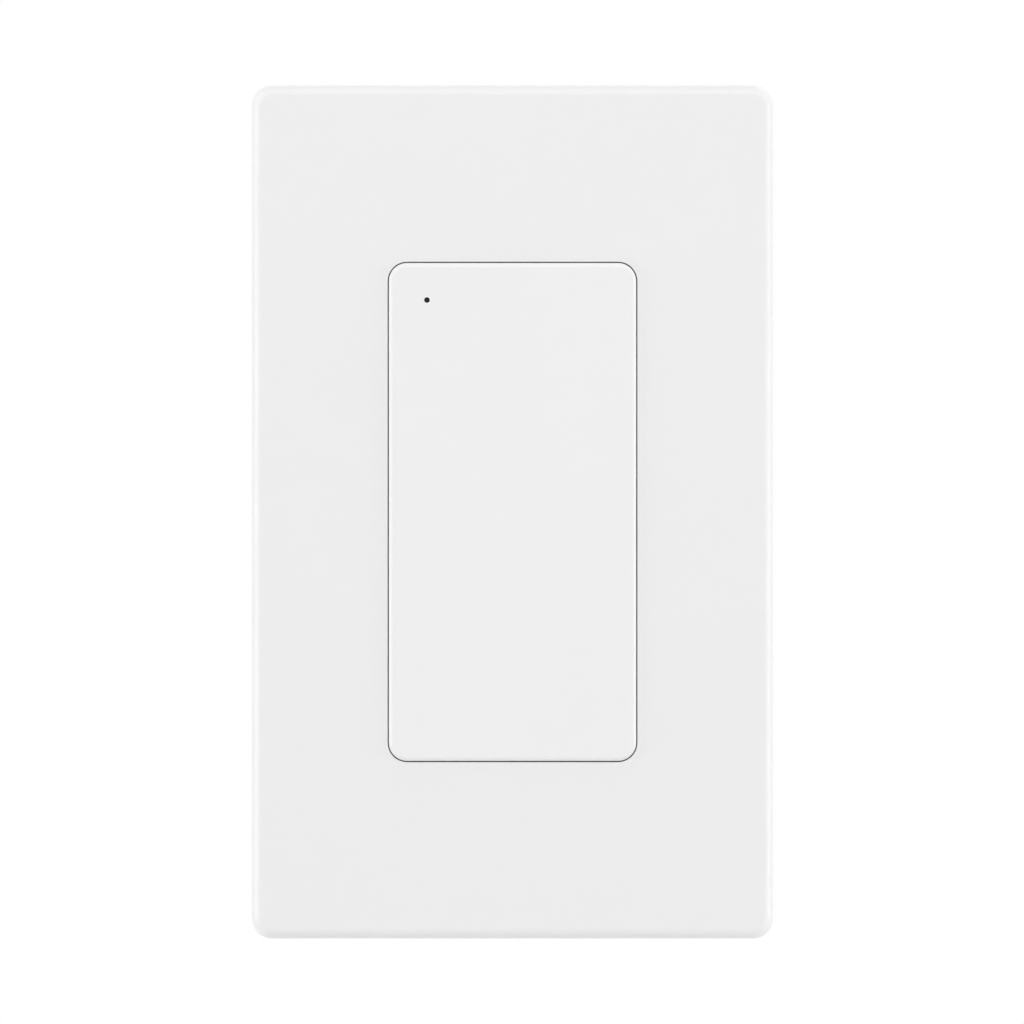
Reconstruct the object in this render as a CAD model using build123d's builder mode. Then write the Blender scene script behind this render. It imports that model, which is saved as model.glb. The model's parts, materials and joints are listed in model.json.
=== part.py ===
from build123d import *
import os

os.makedirs("parts", exist_ok=True)

# The switch is drawn in millimetres: +Z is up, the front faces -Y and the wall is the plane y = 0.
# Every height is measured from the wall towards the viewer, so a piece in the wall box has y = -height > 0.
# The origin is midway between the two box screws.

# Clearances and radii that many pieces share
part_gap = 0.3
hole_clearance = 0.25
thread_clearance = 0.06
screw_fit = 0.05
small_corner = 0.4

# Wall plate, a single-gang plate with a decorator opening
plate_width = 69.85
plate_corner = 2.7
plate_back = 0.2
plate_front = 7.6
plate_draft = 0.3
plate_edge = 1.2
plate_skin = 2.0
plate_wall = 1.8
cavity_corner = 1.2
opening_width = 33.4
opening_height = 66.93
opening_corner = 2.6
rim_wall = 1.2
rim_back = 4.0
catch_height = 1.6
catch_thickness = 0.9
catch_length = 8.0
catch_hold = 0.6
catch_root = 0.3
catch_x = 15.0
catch_z = 30.0

# Paddle, which swings on two trunnions near its top
paddle_gap = 0.14
paddle_front = 8.2
paddle_edge = 0.65
paddle_skin = 1.8
paddle_wall = 1.3
paddle_back = 4.4
hinge_drop = 5.525
hinge_height = 4.3
trunnion_radius = 0.8
trunnion_clearance = 0.05
trunnion_length = 1.8
lug_radius = 1.5
lug_inside = 6.7
lug_thickness = 2.4
press_arm = 30.0
post_radius = 1.6
post_gap = 0.05
nub_radius = 1.0
nub_length = 1.0
hook_thickness = 1.0
hook_reach = 1.2
hook_back = 3.2
hook_gap = 0.05
hook_play = 0.2

# Indicator, one dark dot near the paddle's top left corner
dot_inset_x = 5.11
dot_inset_z = 4.975
dot_radius = 0.375
lens_clearance = 0.015
lens_recess = 0.2
lens_flange_radius = 1.1
lens_flange = 0.5
guide_radius = 1.0
guide_head_radius = 1.5
guide_head = 0.35
guide_clearance = 0.1
lamp_width = 2.0
lamp_tall = 1.25
lamp_depth = 0.8
lamp_corner = 0.1

# Springs
spring_wire = 0.18
spring_radius = 1.4
spring_turns = 5
spring_seat = 2.0
spring_inset = 9.5
spring_x = 9.0
cup_radius = 1.9
cup_wall = 0.8
cup_floor = 0.6

# Front frame, which carries the paddle
flange_lap = 1.535
flange_front = 3.3
flange_corner = 2.0
box_clearance_x = 0.56
box_clearance_z = 0.825
box_wall = 1.7
box_front = 5.4
box_skin = 1.2
skirt_wall = 1.2
ear_thickness = 1.5
ear_gap = 0.15
boss_radius = 2.0
boss_back = -3.5
boss_seat = 0.1

# Mounting strap and its screws
strap_back = 0.5
strap_front = 1.7
strap_corner = 3.0
neck_width = 24.0
ear_width = 33.0
ear_height = 9.0
ear_corner = 4.0
break_x = 10.6
break_width = 1.0
break_height = 5.4
window_corner = 1.5
screw_radius = 1.75
screw_slot_length = 6.6
flange_to_box_screw = 6.67
box_screw_to_plate_screw = 6.75
plate_screw_to_end = 4.78
box_screw_reach = -22.0
box_screw_neck = 1.3
box_head_radius = 3.5
box_head = 1.9
plate_head_radius = 3.2
plate_head = 1.3
plate_screw_tip = 0.1
head_slot = 0.9
retainer_width = 10.0
retainer_tall = 9.0
retainer_back = 0.05

# Plate carrier, which the wall plate snaps onto
carrier_clearance = 0.35
carrier_corner = 2.2
carrier_front = 3.7
carrier_back = 0.3
carrier_wall = 1.2
carrier_gap = 0.6
rib_back = 0.7
rib_thickness = 1.0
rib_pitch = 11.0
rib_rows = range(-4, 5)
flange_gap = 0.5
upright_offset = 4.5

# Rear housing, which sits in the wall box
housing_side = 4.4
housing_end = 4.6
housing_corner = 2.5
housing_edge = 1.0
housing_front = 0.5
housing_back = -32.0
housing_floor = 2.0
mouth_wall = 1.6
board_wall = 2.2
deep_wall = 2.8
inside_corner = 1.0
housing_post_radius = 2.9
post_offset_x = 3.1
post_offset_z = 2.6
housing_screw_radius = 1.15
housing_head_radius = 2.2
housing_head = 1.7
cross_half_length = 1.2
cross_half_width = 0.3
head_recess = 2.4
housing_screw_tip = 0.8
panel_width = 20.0
panel_height = 34.0
panel_z = 4.0
panel_depth = 0.4
gauge_width = 2.4
gauge_length = 12.7
gauge_depth = 0.6
gauge_corner = 1.1
gauge_z = -24.0
groove_pitch = 6.0
groove_width = 1.2
groove_depth = 0.5
groove_inset = 3.2
groove_columns = range(-2, 3)

# Circuit boards and what stands on them
board_thickness = 1.2
board_clearance = 0.2
board_gap = 0.05
post_gap_board = 0.4
control_front = -3.0
power_front = -10.0
tact_width = 6.2
tact_depth = 3.5
tact_bore_depth = 1.5
plunger_radius = 1.7
plunger_clearance = 0.08
plunger_seat = 2.4
plunger_front = 5.0
module_width = 18.0
module_tall = 21.0
module_depth = 0.8
module_inset = 16.0
shield_width = 15.6
shield_tall = 14.4
shield_depth = 2.2
shield_inset = 18.6
header_width = 14.0
header_tall = 5.0
header_inset = 10.5
barrier_wall = 3.5
barrier_depth = 2.0
barrier_skin = 1.0
barrier_rim = 1.2
relay_width = 29.0
relay_depth = 15.7
relay_gap = 2.0
transformer_x = -4.0
transformer_inset = 17.8
core_width = 14.0
core_tall = 13.0
core_depth = 5.0
core_leg = 3.6
core_window = 3.0
core_window_tall = 8.4
winding_width = 9.0
winding_tall = 7.8
winding_depth = 11.0
winding_clearance = 0.15
capacitor_radius = 3.9
capacitor_depth = 13.0
capacitor_x = 7.1
capacitor_inset = 17.9
capacitor_pitch = 8.4
film_width = 13.0
film_tall = 5.0
film_depth = 11.0
film_inset = 20.5
varistor_radius = 5.0
varistor_thickness = 4.0
varistor_x = 5.0
varistor_inset = 12.2
varistor_stand = 0.6
fuse_radius = 4.1
fuse_depth = 7.5
fuse_x = -5.0
fuse_inset = 12.5
bridge_width = 10.0
bridge_tall = 3.2
bridge_depth = 9.8
bridge_x = -5.0
bridge_inset = 5.0
choke_radius = 3.6
choke_waist = 2.8
choke_depth = 9.0
choke_rim = 1.4
choke_inset = 6.7

# Terminals, one in each pocket of the housing's sides
terminal_offset = 12.4
terminal_height = -19.0
pocket_depth = 7.5
pocket_half = 5.5
pocket_front = -14.0
pocket_wall = 1.6
pocket_side_wall = 1.5
pocket_inner_wall = 3.1
wire_hole_radius = 1.6
funnel_radius = 2.2
funnel_depth = 0.6
wire_hole_offset_x = 2.4
wire_hole_offset_z = 3.2
terminal_thickness = 1.2
terminal_width = 10.6
terminal_tall = 10.0
terminal_seat = 0.02
tab_width = 3.0
tab_clearance = 0.2
tab_reach = 0.6
clamp_gap = 0.1
clamp_tall = 9.0
terminal_screw_radius = 1.7
terminal_screw_length = 2.2
terminal_head_radius = 3.5
terminal_head = 2.0
terminal_slot = 1.0
terminals = {"line": (1, 1), "load": (1, -1), "neutral": (-1, 1), "ground": (-1, -1)}

# Sizes that follow from those above, from the opening outwards
paddle_width = opening_width - 2 * paddle_gap
paddle_height = opening_height - 2 * paddle_gap
paddle_corner = opening_corner - paddle_gap
paddle_inner = paddle_front - paddle_skin
box_width = paddle_width - 2 * (paddle_wall + box_clearance_x)
box_height = paddle_height - 2 * (paddle_wall + box_clearance_z)
box_inner = box_front - box_skin
hollow_width = box_width - 2 * box_wall
hollow_height = box_height - 2 * box_wall
window_width = hollow_width + 2 * (skirt_wall + part_gap)
window_height = hollow_height + 2 * (skirt_wall + part_gap)
post_x = window_width / 2 + post_offset_x
post_z = window_height / 2 - post_offset_z
flange_width = 2 * (post_x + boss_radius + post_gap_board)
flange_height = opening_height + 2 * flange_lap
housing_width = 2 * (post_x + housing_side)
housing_height = 2 * (post_z + housing_end)
strap_width = housing_width - 2 * strap_back
strap_height = housing_height + 2 * strap_corner
box_screw_z = flange_height / 2 + flange_to_box_screw
plate_screw_z = box_screw_z + box_screw_to_plate_screw
strap_length = 2 * (plate_screw_z + plate_screw_to_end)
carrier_height = strap_length + 2 * (carrier_gap + carrier_wall)
plate_height = carrier_height + 2 * (carrier_clearance + plate_wall)
carrier_width = plate_width - 2 * (carrier_clearance + plate_wall)
cavity_width = plate_width - 2 * plate_wall
cavity_height = plate_height - 2 * plate_wall
plate_inner = plate_front - plate_skin
hinge_z = paddle_height / 2 - hinge_drop
press_z = hinge_z - press_arm
dot_x = dot_inset_x - paddle_width / 2
dot_z = paddle_height / 2 - dot_inset_z
spring_z = spring_inset - hollow_height / 2
hook_x = lug_inside + lug_thickness / 2
hook_z = 2 * hook_play - hollow_height / 2
control_back = control_front - board_thickness
power_back = power_front - board_thickness
housing_inside = housing_back + housing_floor
head_seat = housing_back + head_recess
terminal_z = post_z - terminal_offset
housing_end_z = housing_height / 2
module_z = module_inset - housing_end_z
shield_z = shield_inset - housing_end_z
header_z = housing_end_z - header_inset
transformer_z = housing_end_z - transformer_inset
capacitor_z = housing_end_z - capacitor_inset
choke_z = housing_end_z - choke_inset
film_z = film_inset - housing_end_z
varistor_z = varistor_inset - housing_end_z
fuse_z = fuse_inset - housing_end_z
bridge_z = bridge_inset - housing_end_z
relay_limits = (film_z + film_tall / 2 + relay_gap, transformer_z - core_tall / 2 - 2 * relay_gap)
relay_tall = relay_limits[1] - relay_limits[0]
relay_z = sum(relay_limits) / 2
pocket_floor = housing_width / 2 - pocket_depth

# Places that more than one piece uses
sides = (-1, 1)
corners = [(side, end) for side in sides for end in sides]
box_screw_sites = [(0, end * box_screw_z) for end in sides]
plate_screw_sites = [(0, end * plate_screw_z) for end in sides]
post_sites = [(side * post_x, end * post_z) for side, end in corners]
spring_sites = {"left": (-spring_x, spring_z), "right": (spring_x, spring_z)}
dot_site = [(dot_x, dot_z)]
press_site = [(0, press_z)]


# A rounded block between two heights, centred on each point of a list
def slab(width, tall, corner, back, front, at=((0, 0),), mode=Mode.ADD):
    with BuildSketch(Plane.XZ.offset(back)) as outline:
        with Locations(*at):
            RectangleRounded(width, tall, corner)
    extrude(outline.sketch, amount=front - back, mode=mode)


# A plain block between limits in x, height and z, each pair in either order
def block(x, heights, z, mode=Mode.ADD):
    back, front = sorted(heights)
    with BuildSketch(Plane.XZ.offset(back)) as outline:
        with Locations((sum(x) / 2, sum(z) / 2)):
            Rectangle(abs(x[1] - x[0]), abs(z[1] - z[0]))
    extrude(outline.sketch, amount=front - back, mode=mode)


# A round piece along Y between two heights, at each point of a list
def disc(radius, back, front, at=((0, 0),), mode=Mode.ADD):
    with BuildSketch(Plane.XZ.offset(back)) as outline:
        with Locations(*at):
            Circle(radius)
    extrude(outline.sketch, amount=front - back, mode=mode)


# A round piece along X between two limits, at one height and z
def rod(radius, x, height, z, mode=Mode.ADD):
    low, high = sorted(x)
    with BuildSketch(Plane.YZ.offset(low)) as outline:
        with Locations((-height, z)):
            Circle(radius)
    extrude(outline.sketch, amount=high - low, mode=mode)


# Two limits at equal distances from a middle
def about(middle, half):
    return (middle - half, middle + half)


# The four corners cut from a board or sheet, so that it clears the housing's posts
def clear_posts(back, front):
    for side, end in corners:
        x = (side * (post_x - housing_post_radius - post_gap_board), side * housing_width / 2)
        z = (end * (post_z - housing_post_radius - post_gap_board), end * housing_height / 2)
        block(x, (back, front), z, Mode.SUBTRACT)


# A slot through a board or wall for a terminal's solder tab
def tab_slot(side, end, back, front):
    middle = side * (pocket_floor + terminal_seat + terminal_thickness / 2)
    x = about(middle, terminal_thickness / 2 + tab_clearance / 2)
    z = about(end * terminal_z, tab_width / 2 + tab_clearance)
    block(x, (back, front), z, Mode.SUBTRACT)


# A straight slot in screw heads that face along Y, cut between two heights
def head_slots(sites, length, width, back, front):
    for x, z in sites:
        block(about(x, length), (back, front), about(z, width / 2), Mode.SUBTRACT)


def save(piece, name):
    piece.label = name
    export_step(piece, f"parts/{name}.step")


# Wall plate: a drafted shell with a rolled front edge, a rim around its opening and inward catches
with BuildPart() as wall_plate:
    with BuildSketch(Plane.XZ.offset(plate_back)):
        RectangleRounded(plate_width, plate_height, plate_corner)
    with BuildSketch(Plane.XZ.offset(plate_front)):
        RectangleRounded(plate_width - 2 * plate_draft, plate_height - 2 * plate_draft, plate_corner)
    loft()
    fillet(wall_plate.edges().group_by(Axis.Y)[0], plate_edge)
    slab(cavity_width, cavity_height, cavity_corner, plate_back, plate_inner, mode=Mode.SUBTRACT)
    rim_width = opening_width + 2 * rim_wall
    rim_height = opening_height + 2 * rim_wall
    slab(rim_width, rim_height, opening_corner + rim_wall, rim_back, plate_inner)
    slab(opening_width, opening_height, opening_corner, rim_back, plate_front, mode=Mode.SUBTRACT)
    catch_heights = (catch_height - catch_thickness, catch_height)
    for side, end in corners:
        side_reach = (side * (cavity_width / 2 + catch_root), side * (carrier_width / 2 - catch_hold))
        block(side_reach, catch_heights, about(end * catch_z, catch_length / 2))
        end_reach = (end * (cavity_height / 2 + catch_root), end * (carrier_height / 2 - catch_hold))
        block(about(side * catch_x, catch_length / 2), catch_heights, end_reach)
save(wall_plate.part, "wall_plate")

# Plate carrier: a ribbed frame with an edge towards the wall, notched where the catches hold
with BuildPart() as plate_carrier:
    slab(carrier_width, carrier_height, carrier_corner, carrier_back, carrier_front)
    inside_width = carrier_width - 2 * carrier_wall
    inside_height = carrier_height - 2 * carrier_wall
    slab(inside_width, inside_height, inside_corner, carrier_back, strap_front, mode=Mode.SUBTRACT)
    carrier_window = (flange_width + 2 * flange_gap, flange_height + 2 * flange_gap)
    slab(*carrier_window, window_corner, strap_front, carrier_front, mode=Mode.SUBTRACT)
    for side in sides:
        rib_x = (side * (strap_width / 2 + rib_thickness), side * inside_width / 2)
        for row in rib_rows:
            block(rib_x, (rib_back, strap_front), about(row * rib_pitch, rib_thickness / 2))
        upright_x = about(side * (strap_width / 2 + upright_offset), rib_thickness / 2)
        block(upright_x, (rib_back, strap_front), (-inside_height / 2, inside_height / 2))
    disc(box_head_radius + carrier_gap, strap_front, carrier_front, box_screw_sites, Mode.SUBTRACT)
    disc(screw_radius + part_gap, strap_front, carrier_front, plate_screw_sites, Mode.SUBTRACT)
    notch_half = catch_length / 2 + carrier_gap
    notch_depth = carrier_wall + catch_root
    for side, end in corners:
        side_notch = (side * (carrier_width / 2 - notch_depth), side * plate_width / 2)
        block(side_notch, (carrier_back, strap_front), about(end * catch_z, notch_half), Mode.SUBTRACT)
        end_notch = (end * (carrier_height / 2 - notch_depth), end * plate_height / 2)
        block(about(side * catch_x, notch_half), (carrier_back, strap_front), end_notch, Mode.SUBTRACT)
save(plate_carrier.part, "plate_carrier")

# Plate screws: they hold the carrier to the strap's tapped holes
with BuildPart() as plate_screws:
    plate_head_front = carrier_front + plate_head
    disc(screw_radius, plate_screw_tip, carrier_front, plate_screw_sites)
    disc(plate_head_radius, carrier_front, plate_head_front, plate_screw_sites)
    slot_back = plate_head_front - plate_head / 2
    head_slots(plate_screw_sites, plate_head_radius, head_slot, slot_back, plate_head_front)
save(plate_screws.part, "plate_screws")

# Mounting strap: one steel stamping with plaster ears and their break-off slots
with BuildPart() as mounting_strap:
    slab(strap_width, strap_height, strap_corner, strap_back, strap_front)
    slab(neck_width, strap_length, strap_corner, strap_back, strap_front)
    ear_z = (strap_length - ear_height) / 2
    slab(ear_width, ear_height, ear_corner, strap_back, strap_front, [(0, -ear_z), (0, ear_z)])
    slab(window_width, window_height, window_corner, strap_back, strap_front, mode=Mode.SUBTRACT)
    with BuildSketch(Plane.XZ.offset(strap_back)):
        with Locations(*box_screw_sites):
            SlotOverall(screw_slot_length, 2 * (screw_radius + part_gap))
    extrude(amount=strap_front - strap_back, mode=Mode.SUBTRACT)
    tapped_radius = screw_radius + thread_clearance
    disc(tapped_radius, strap_back, strap_front, plate_screw_sites, Mode.SUBTRACT)
    disc(boss_radius + part_gap, strap_back, strap_front, post_sites, Mode.SUBTRACT)
    break_sites = [(side * break_x, end * ear_z) for side, end in corners]
    slab(break_width, break_height, small_corner, strap_back, strap_front, break_sites, Mode.SUBTRACT)
save(mounting_strap.part, "mounting_strap")

# Box screws: slotted heads, relieved necks in the strap's slots and long shanks into the wall box
with BuildPart() as box_screws:
    box_head_front = strap_front + box_head
    disc(screw_radius, box_screw_reach, 0, box_screw_sites)
    disc(box_screw_neck, 0, strap_front, box_screw_sites)
    disc(box_head_radius, strap_front, box_head_front, box_screw_sites)
    head_slots(box_screw_sites, box_head_radius, head_slot, box_head_front - box_head / 2, box_head_front)
save(box_screws.part, "box_screws")

# Fibre retainers: they keep the box screws in the strap's slots
with BuildPart() as screw_retainers:
    slab(retainer_width, retainer_tall, inside_corner, retainer_back, strap_back, box_screw_sites)
    retainer_hole = screw_radius + screw_fit
    disc(retainer_hole, retainer_back, strap_back, box_screw_sites, Mode.SUBTRACT)
save(screw_retainers.part, "screw_retainers")

# Front frame: a flange on the strap, a raised box under the paddle and a skirt through the strap's window
with BuildPart() as front_frame:
    skirt_back = control_front + board_gap
    slab(flange_width, flange_height, flange_corner, strap_front, flange_front)
    slab(box_width, box_height, window_corner, strap_front, box_front)
    skirt_width = window_width - 2 * part_gap
    skirt_height = window_height - 2 * part_gap
    slab(skirt_width, skirt_height, window_corner - part_gap, skirt_back, strap_front)
    slab(hollow_width, hollow_height, small_corner, skirt_back, box_inner, mode=Mode.SUBTRACT)
    disc(boss_radius, boss_back, strap_front, post_sites)
    pilot_radius = housing_screw_radius + screw_fit
    disc(pilot_radius, boss_back, strap_front - part_gap, post_sites, Mode.SUBTRACT)
    disc(post_radius + 2 * part_gap, box_inner, box_front, press_site, Mode.SUBTRACT)
    disc(guide_radius + guide_clearance, box_inner, box_front, dot_site, Mode.SUBTRACT)
    disc(cup_radius + cup_wall, spring_seat - cup_floor, box_inner, spring_sites.values())
    disc(cup_radius, spring_seat, box_front, spring_sites.values(), Mode.SUBTRACT)
    slot_z = (hook_z - hook_play, hook_z + hook_thickness + hook_gap + 2 * hook_play)
    for side in sides:
        well_inside = side * (lug_inside - trunnion_length - part_gap)
        well_x = (well_inside, side * (lug_inside + lug_thickness + part_gap))
        well_z = about(hinge_z, lug_radius + part_gap)
        well_back = hinge_height - lug_radius - part_gap
        block(well_x, (well_back, box_front), well_z, Mode.SUBTRACT)
        ear_x = (side * (lug_inside - ear_gap), side * (lug_inside - ear_gap - ear_thickness))
        rod(lug_radius, ear_x, hinge_height, hinge_z)
        web_heights = (hinge_height - lug_radius, box_front - small_corner)
        block(ear_x, web_heights, (hinge_z, box_height / 2 - box_wall / 2))
        rod(trunnion_radius + trunnion_clearance, ear_x, hinge_height, hinge_z, Mode.SUBTRACT)
        hook_slot = about(side * hook_x, lug_thickness / 2 + part_gap)
        block(hook_slot, (box_inner, box_front), slot_z, Mode.SUBTRACT)
save(front_frame.part, "front_frame")

# Paddle: a shallow cap with lugs and trunnions at the top, a press post, spring nubs and two hooks
with BuildPart() as paddle:
    slab(paddle_width, paddle_height, paddle_corner, paddle_back, paddle_front)
    fillet(paddle.edges().group_by(Axis.Y)[0], paddle_edge)
    cap_width = paddle_width - 2 * paddle_wall
    cap_height = paddle_height - 2 * paddle_wall
    slab(cap_width, cap_height, paddle_corner - paddle_wall, paddle_back, paddle_inner, mode=Mode.SUBTRACT)
    disc(post_radius, control_front + plunger_front + post_gap, paddle_inner, press_site)
    disc(nub_radius, paddle_inner - nub_length, paddle_inner, spring_sites.values())
    for side in sides:
        lug_x = (side * lug_inside, side * (lug_inside + lug_thickness))
        rod(lug_radius, lug_x, hinge_height, hinge_z)
        block(lug_x, (hinge_height, paddle_inner), about(hinge_z, lug_radius))
        trunnion_x = (side * (lug_inside - trunnion_length), side * lug_inside)
        rod(trunnion_radius, trunnion_x, hinge_height, hinge_z)
        hook_limits = about(side * hook_x, lug_thickness / 2)
        block(hook_limits, (hook_back, paddle_inner), (hook_z, hook_z + hook_thickness))
        barb_z = (hook_z + hook_thickness, hook_z + hook_thickness + hook_reach)
        block(hook_limits, (hook_back, box_inner - hook_gap), barb_z)
    disc(dot_radius, paddle_inner, paddle_front, dot_site, Mode.SUBTRACT)
save(paddle.part, "paddle")

# Indicator lens: a smoked pin in the paddle's skin with a flange behind it
with BuildPart() as indicator_lens:
    disc(lens_flange_radius, paddle_inner - lens_flange, paddle_inner, dot_site)
    disc(dot_radius - lens_clearance, paddle_inner, paddle_front - lens_recess, dot_site)
save(indicator_lens.part, "indicator_lens")

# Light guide: a clear rod from the status lamp to behind the lens
with BuildPart() as light_guide:
    disc(guide_radius, control_front + lamp_depth + guide_clearance, box_front, dot_site)
    disc(guide_head_radius, box_front, box_front + guide_head, dot_site)
save(light_guide.part, "light_guide")

# Status lamp on the control board
with BuildPart() as status_led:
    slab(lamp_width, lamp_tall, lamp_corner, control_front, control_front + lamp_depth, dot_site)
save(status_led.part, "status_led")

# Return springs between the frame's cups and the paddle
for name, (coil_x, coil_z) in spring_sites.items():
    with BuildPart() as paddle_spring:
        coil_back = spring_seat + spring_wire + terminal_seat
        coil_length = paddle_inner - spring_wire - terminal_seat - coil_back
        with BuildLine() as coil:
            Helix(
                coil_length / spring_turns,
                coil_length,
                spring_radius,
                center=(coil_x, -coil_back, coil_z),
                direction=(0, -1, 0),
            )
        with BuildSketch(Plane(coil.line @ 0, z_dir=coil.line % 0)):
            Circle(spring_wire)
        sweep()
    save(paddle_spring.part, f"paddle_spring_{name}")

# Control board, with a slot for the ground strip
with BuildPart() as control_board:
    control_width = housing_width - 2 * (mouth_wall + board_clearance)
    control_height = housing_height - 2 * (mouth_wall + board_clearance)
    slab(control_width, control_height, inside_corner, control_back, control_front)
    clear_posts(control_back, control_front)
    tab_slot(*terminals["ground"], control_back, control_front)
save(control_board.part, "control_board")

# Tactile switch: its square body and the plunger that the paddle's post presses
with BuildPart() as tact_switch_body:
    tact_front = control_front + tact_depth
    slab(tact_width, tact_width, small_corner, control_front, tact_front, press_site)
    bore_radius = plunger_radius + plunger_clearance
    disc(bore_radius, tact_front - tact_bore_depth, tact_front, press_site, Mode.SUBTRACT)
save(tact_switch_body.part, "tact_switch_body")

with BuildPart() as tact_plunger:
    disc(plunger_radius, control_front + plunger_seat, control_front + plunger_front, press_site)
save(tact_plunger.part, "tact_plunger")

# Radio module: its small board with the antenna end bare, and its shield
with BuildPart() as radio_module:
    module_front = control_front + module_depth
    slab(module_width, module_tall, small_corner, control_front, module_front, [(0, module_z)])
save(radio_module.part, "radio_module")

with BuildPart() as module_shield:
    shield_front = module_front + shield_depth
    slab(shield_width, shield_tall, small_corner, module_front, shield_front, [(0, shield_z)])
save(module_shield.part, "module_shield")

# Header between the two boards
with BuildPart() as board_header:
    header_back = power_front + board_gap
    slab(header_width, header_tall, small_corner, header_back, control_back - board_gap, [(0, header_z)])
save(board_header.part, "board_header")

# Insulating barrier: a shallow tray that stands on the power board
with BuildPart() as insulating_barrier:
    tray_back = power_front + board_gap
    tray_front = power_front + barrier_depth
    tray_width = housing_width - 2 * barrier_wall
    tray_height = housing_height - 2 * barrier_wall
    slab(tray_width, tray_height, window_corner, tray_back, tray_front)
    slab(
        tray_width - 2 * barrier_rim,
        tray_height - 2 * barrier_rim,
        small_corner,
        tray_back,
        tray_front - barrier_skin,
        mode=Mode.SUBTRACT,
    )
    clear_posts(tray_back, tray_front)
    header_hole = (header_width + 2 * post_gap_board, header_tall + 2 * post_gap_board)
    slab(*header_hole, small_corner, tray_back, tray_front, [(0, header_z)], Mode.SUBTRACT)
    tab_slot(*terminals["ground"], tray_back, tray_front)
save(insulating_barrier.part, "insulating_barrier")

# Power board, with a slot for each terminal's tab
with BuildPart() as power_board:
    power_width = housing_width - 2 * (board_wall + board_clearance)
    power_height = housing_height - 2 * (board_wall + board_clearance)
    slab(power_width, power_height, inside_corner, power_back, power_front)
    clear_posts(power_back, power_front)
    for side, end in terminals.values():
        tab_slot(side, end, power_back, power_front)
save(power_board.part, "power_board")

# Relay
with BuildPart() as relay:
    slab(relay_width, relay_tall, small_corner, power_back - relay_depth, power_back, [(0, relay_z)])
save(relay.part, "relay")

# Transformer: a ferrite core with two windows and a winding around its middle leg
transformer_site = [(transformer_x, transformer_z)]
transformer_mid = power_back - winding_depth / 2
with BuildPart() as transformer_core:
    core_heights = about(transformer_mid, core_depth / 2)
    slab(core_width, core_tall, small_corner, *core_heights, transformer_site)
    for side in sides:
        core_window_x = about(transformer_x + side * (core_leg + core_window) / 2, core_window / 2)
        core_window_z = about(transformer_z, core_window_tall / 2)
        block(core_window_x, core_heights, core_window_z, Mode.SUBTRACT)
save(transformer_core.part, "transformer_core")

with BuildPart() as transformer_winding:
    winding_back = power_back - winding_depth
    slab(winding_width, winding_tall, window_corner, winding_back, power_back, transformer_site)
    leg_x = about(transformer_x, core_leg / 2 + winding_clearance)
    leg_heights = about(transformer_mid, core_depth / 2 + winding_clearance)
    block(leg_x, leg_heights, about(transformer_z, winding_tall / 2), Mode.SUBTRACT)
save(transformer_winding.part, "transformer_winding")

# Electrolytic capacitors
with BuildPart() as capacitors:
    capacitor_sites = [(capacitor_x, z) for z in about(capacitor_z, capacitor_pitch / 2)]
    disc(capacitor_radius, power_back - capacitor_depth, power_back, capacitor_sites)
save(capacitors.part, "capacitors")

# Film capacitor across the line
with BuildPart() as film_capacitor:
    slab(film_width, film_tall, small_corner, power_back - film_depth, power_back, [(0, film_z)])
save(film_capacitor.part, "film_capacitor")

# Varistor: a coated disc standing on its edge
with BuildPart() as varistor:
    varistor_height = power_back - varistor_radius - varistor_stand
    rod(varistor_radius, about(varistor_x, varistor_thickness / 2), varistor_height, varistor_z)
save(varistor.part, "varistor")

# Fuse
with BuildPart() as fuse:
    disc(fuse_radius, power_back - fuse_depth, power_back, [(fuse_x, fuse_z)])
save(fuse.part, "fuse")

# Bridge rectifier
with BuildPart() as bridge_rectifier:
    bridge_back = power_back - bridge_depth
    slab(bridge_width, bridge_tall, small_corner, bridge_back, power_back, [(bridge_x, bridge_z)])
save(bridge_rectifier.part, "bridge_rectifier")

# Filter choke: a drum core with a waist
with BuildPart() as choke:
    disc(choke_radius, power_back - choke_depth, power_back, [(0, choke_z)])
    with BuildSketch(Plane.XZ.offset(power_back - choke_depth + choke_rim)):
        with Locations((0, choke_z)):
            Circle(choke_radius + small_corner)
            Circle(choke_waist, mode=Mode.SUBTRACT)
    extrude(amount=choke_depth - 2 * choke_rim, mode=Mode.SUBTRACT)
save(choke.part, "choke")

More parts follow.
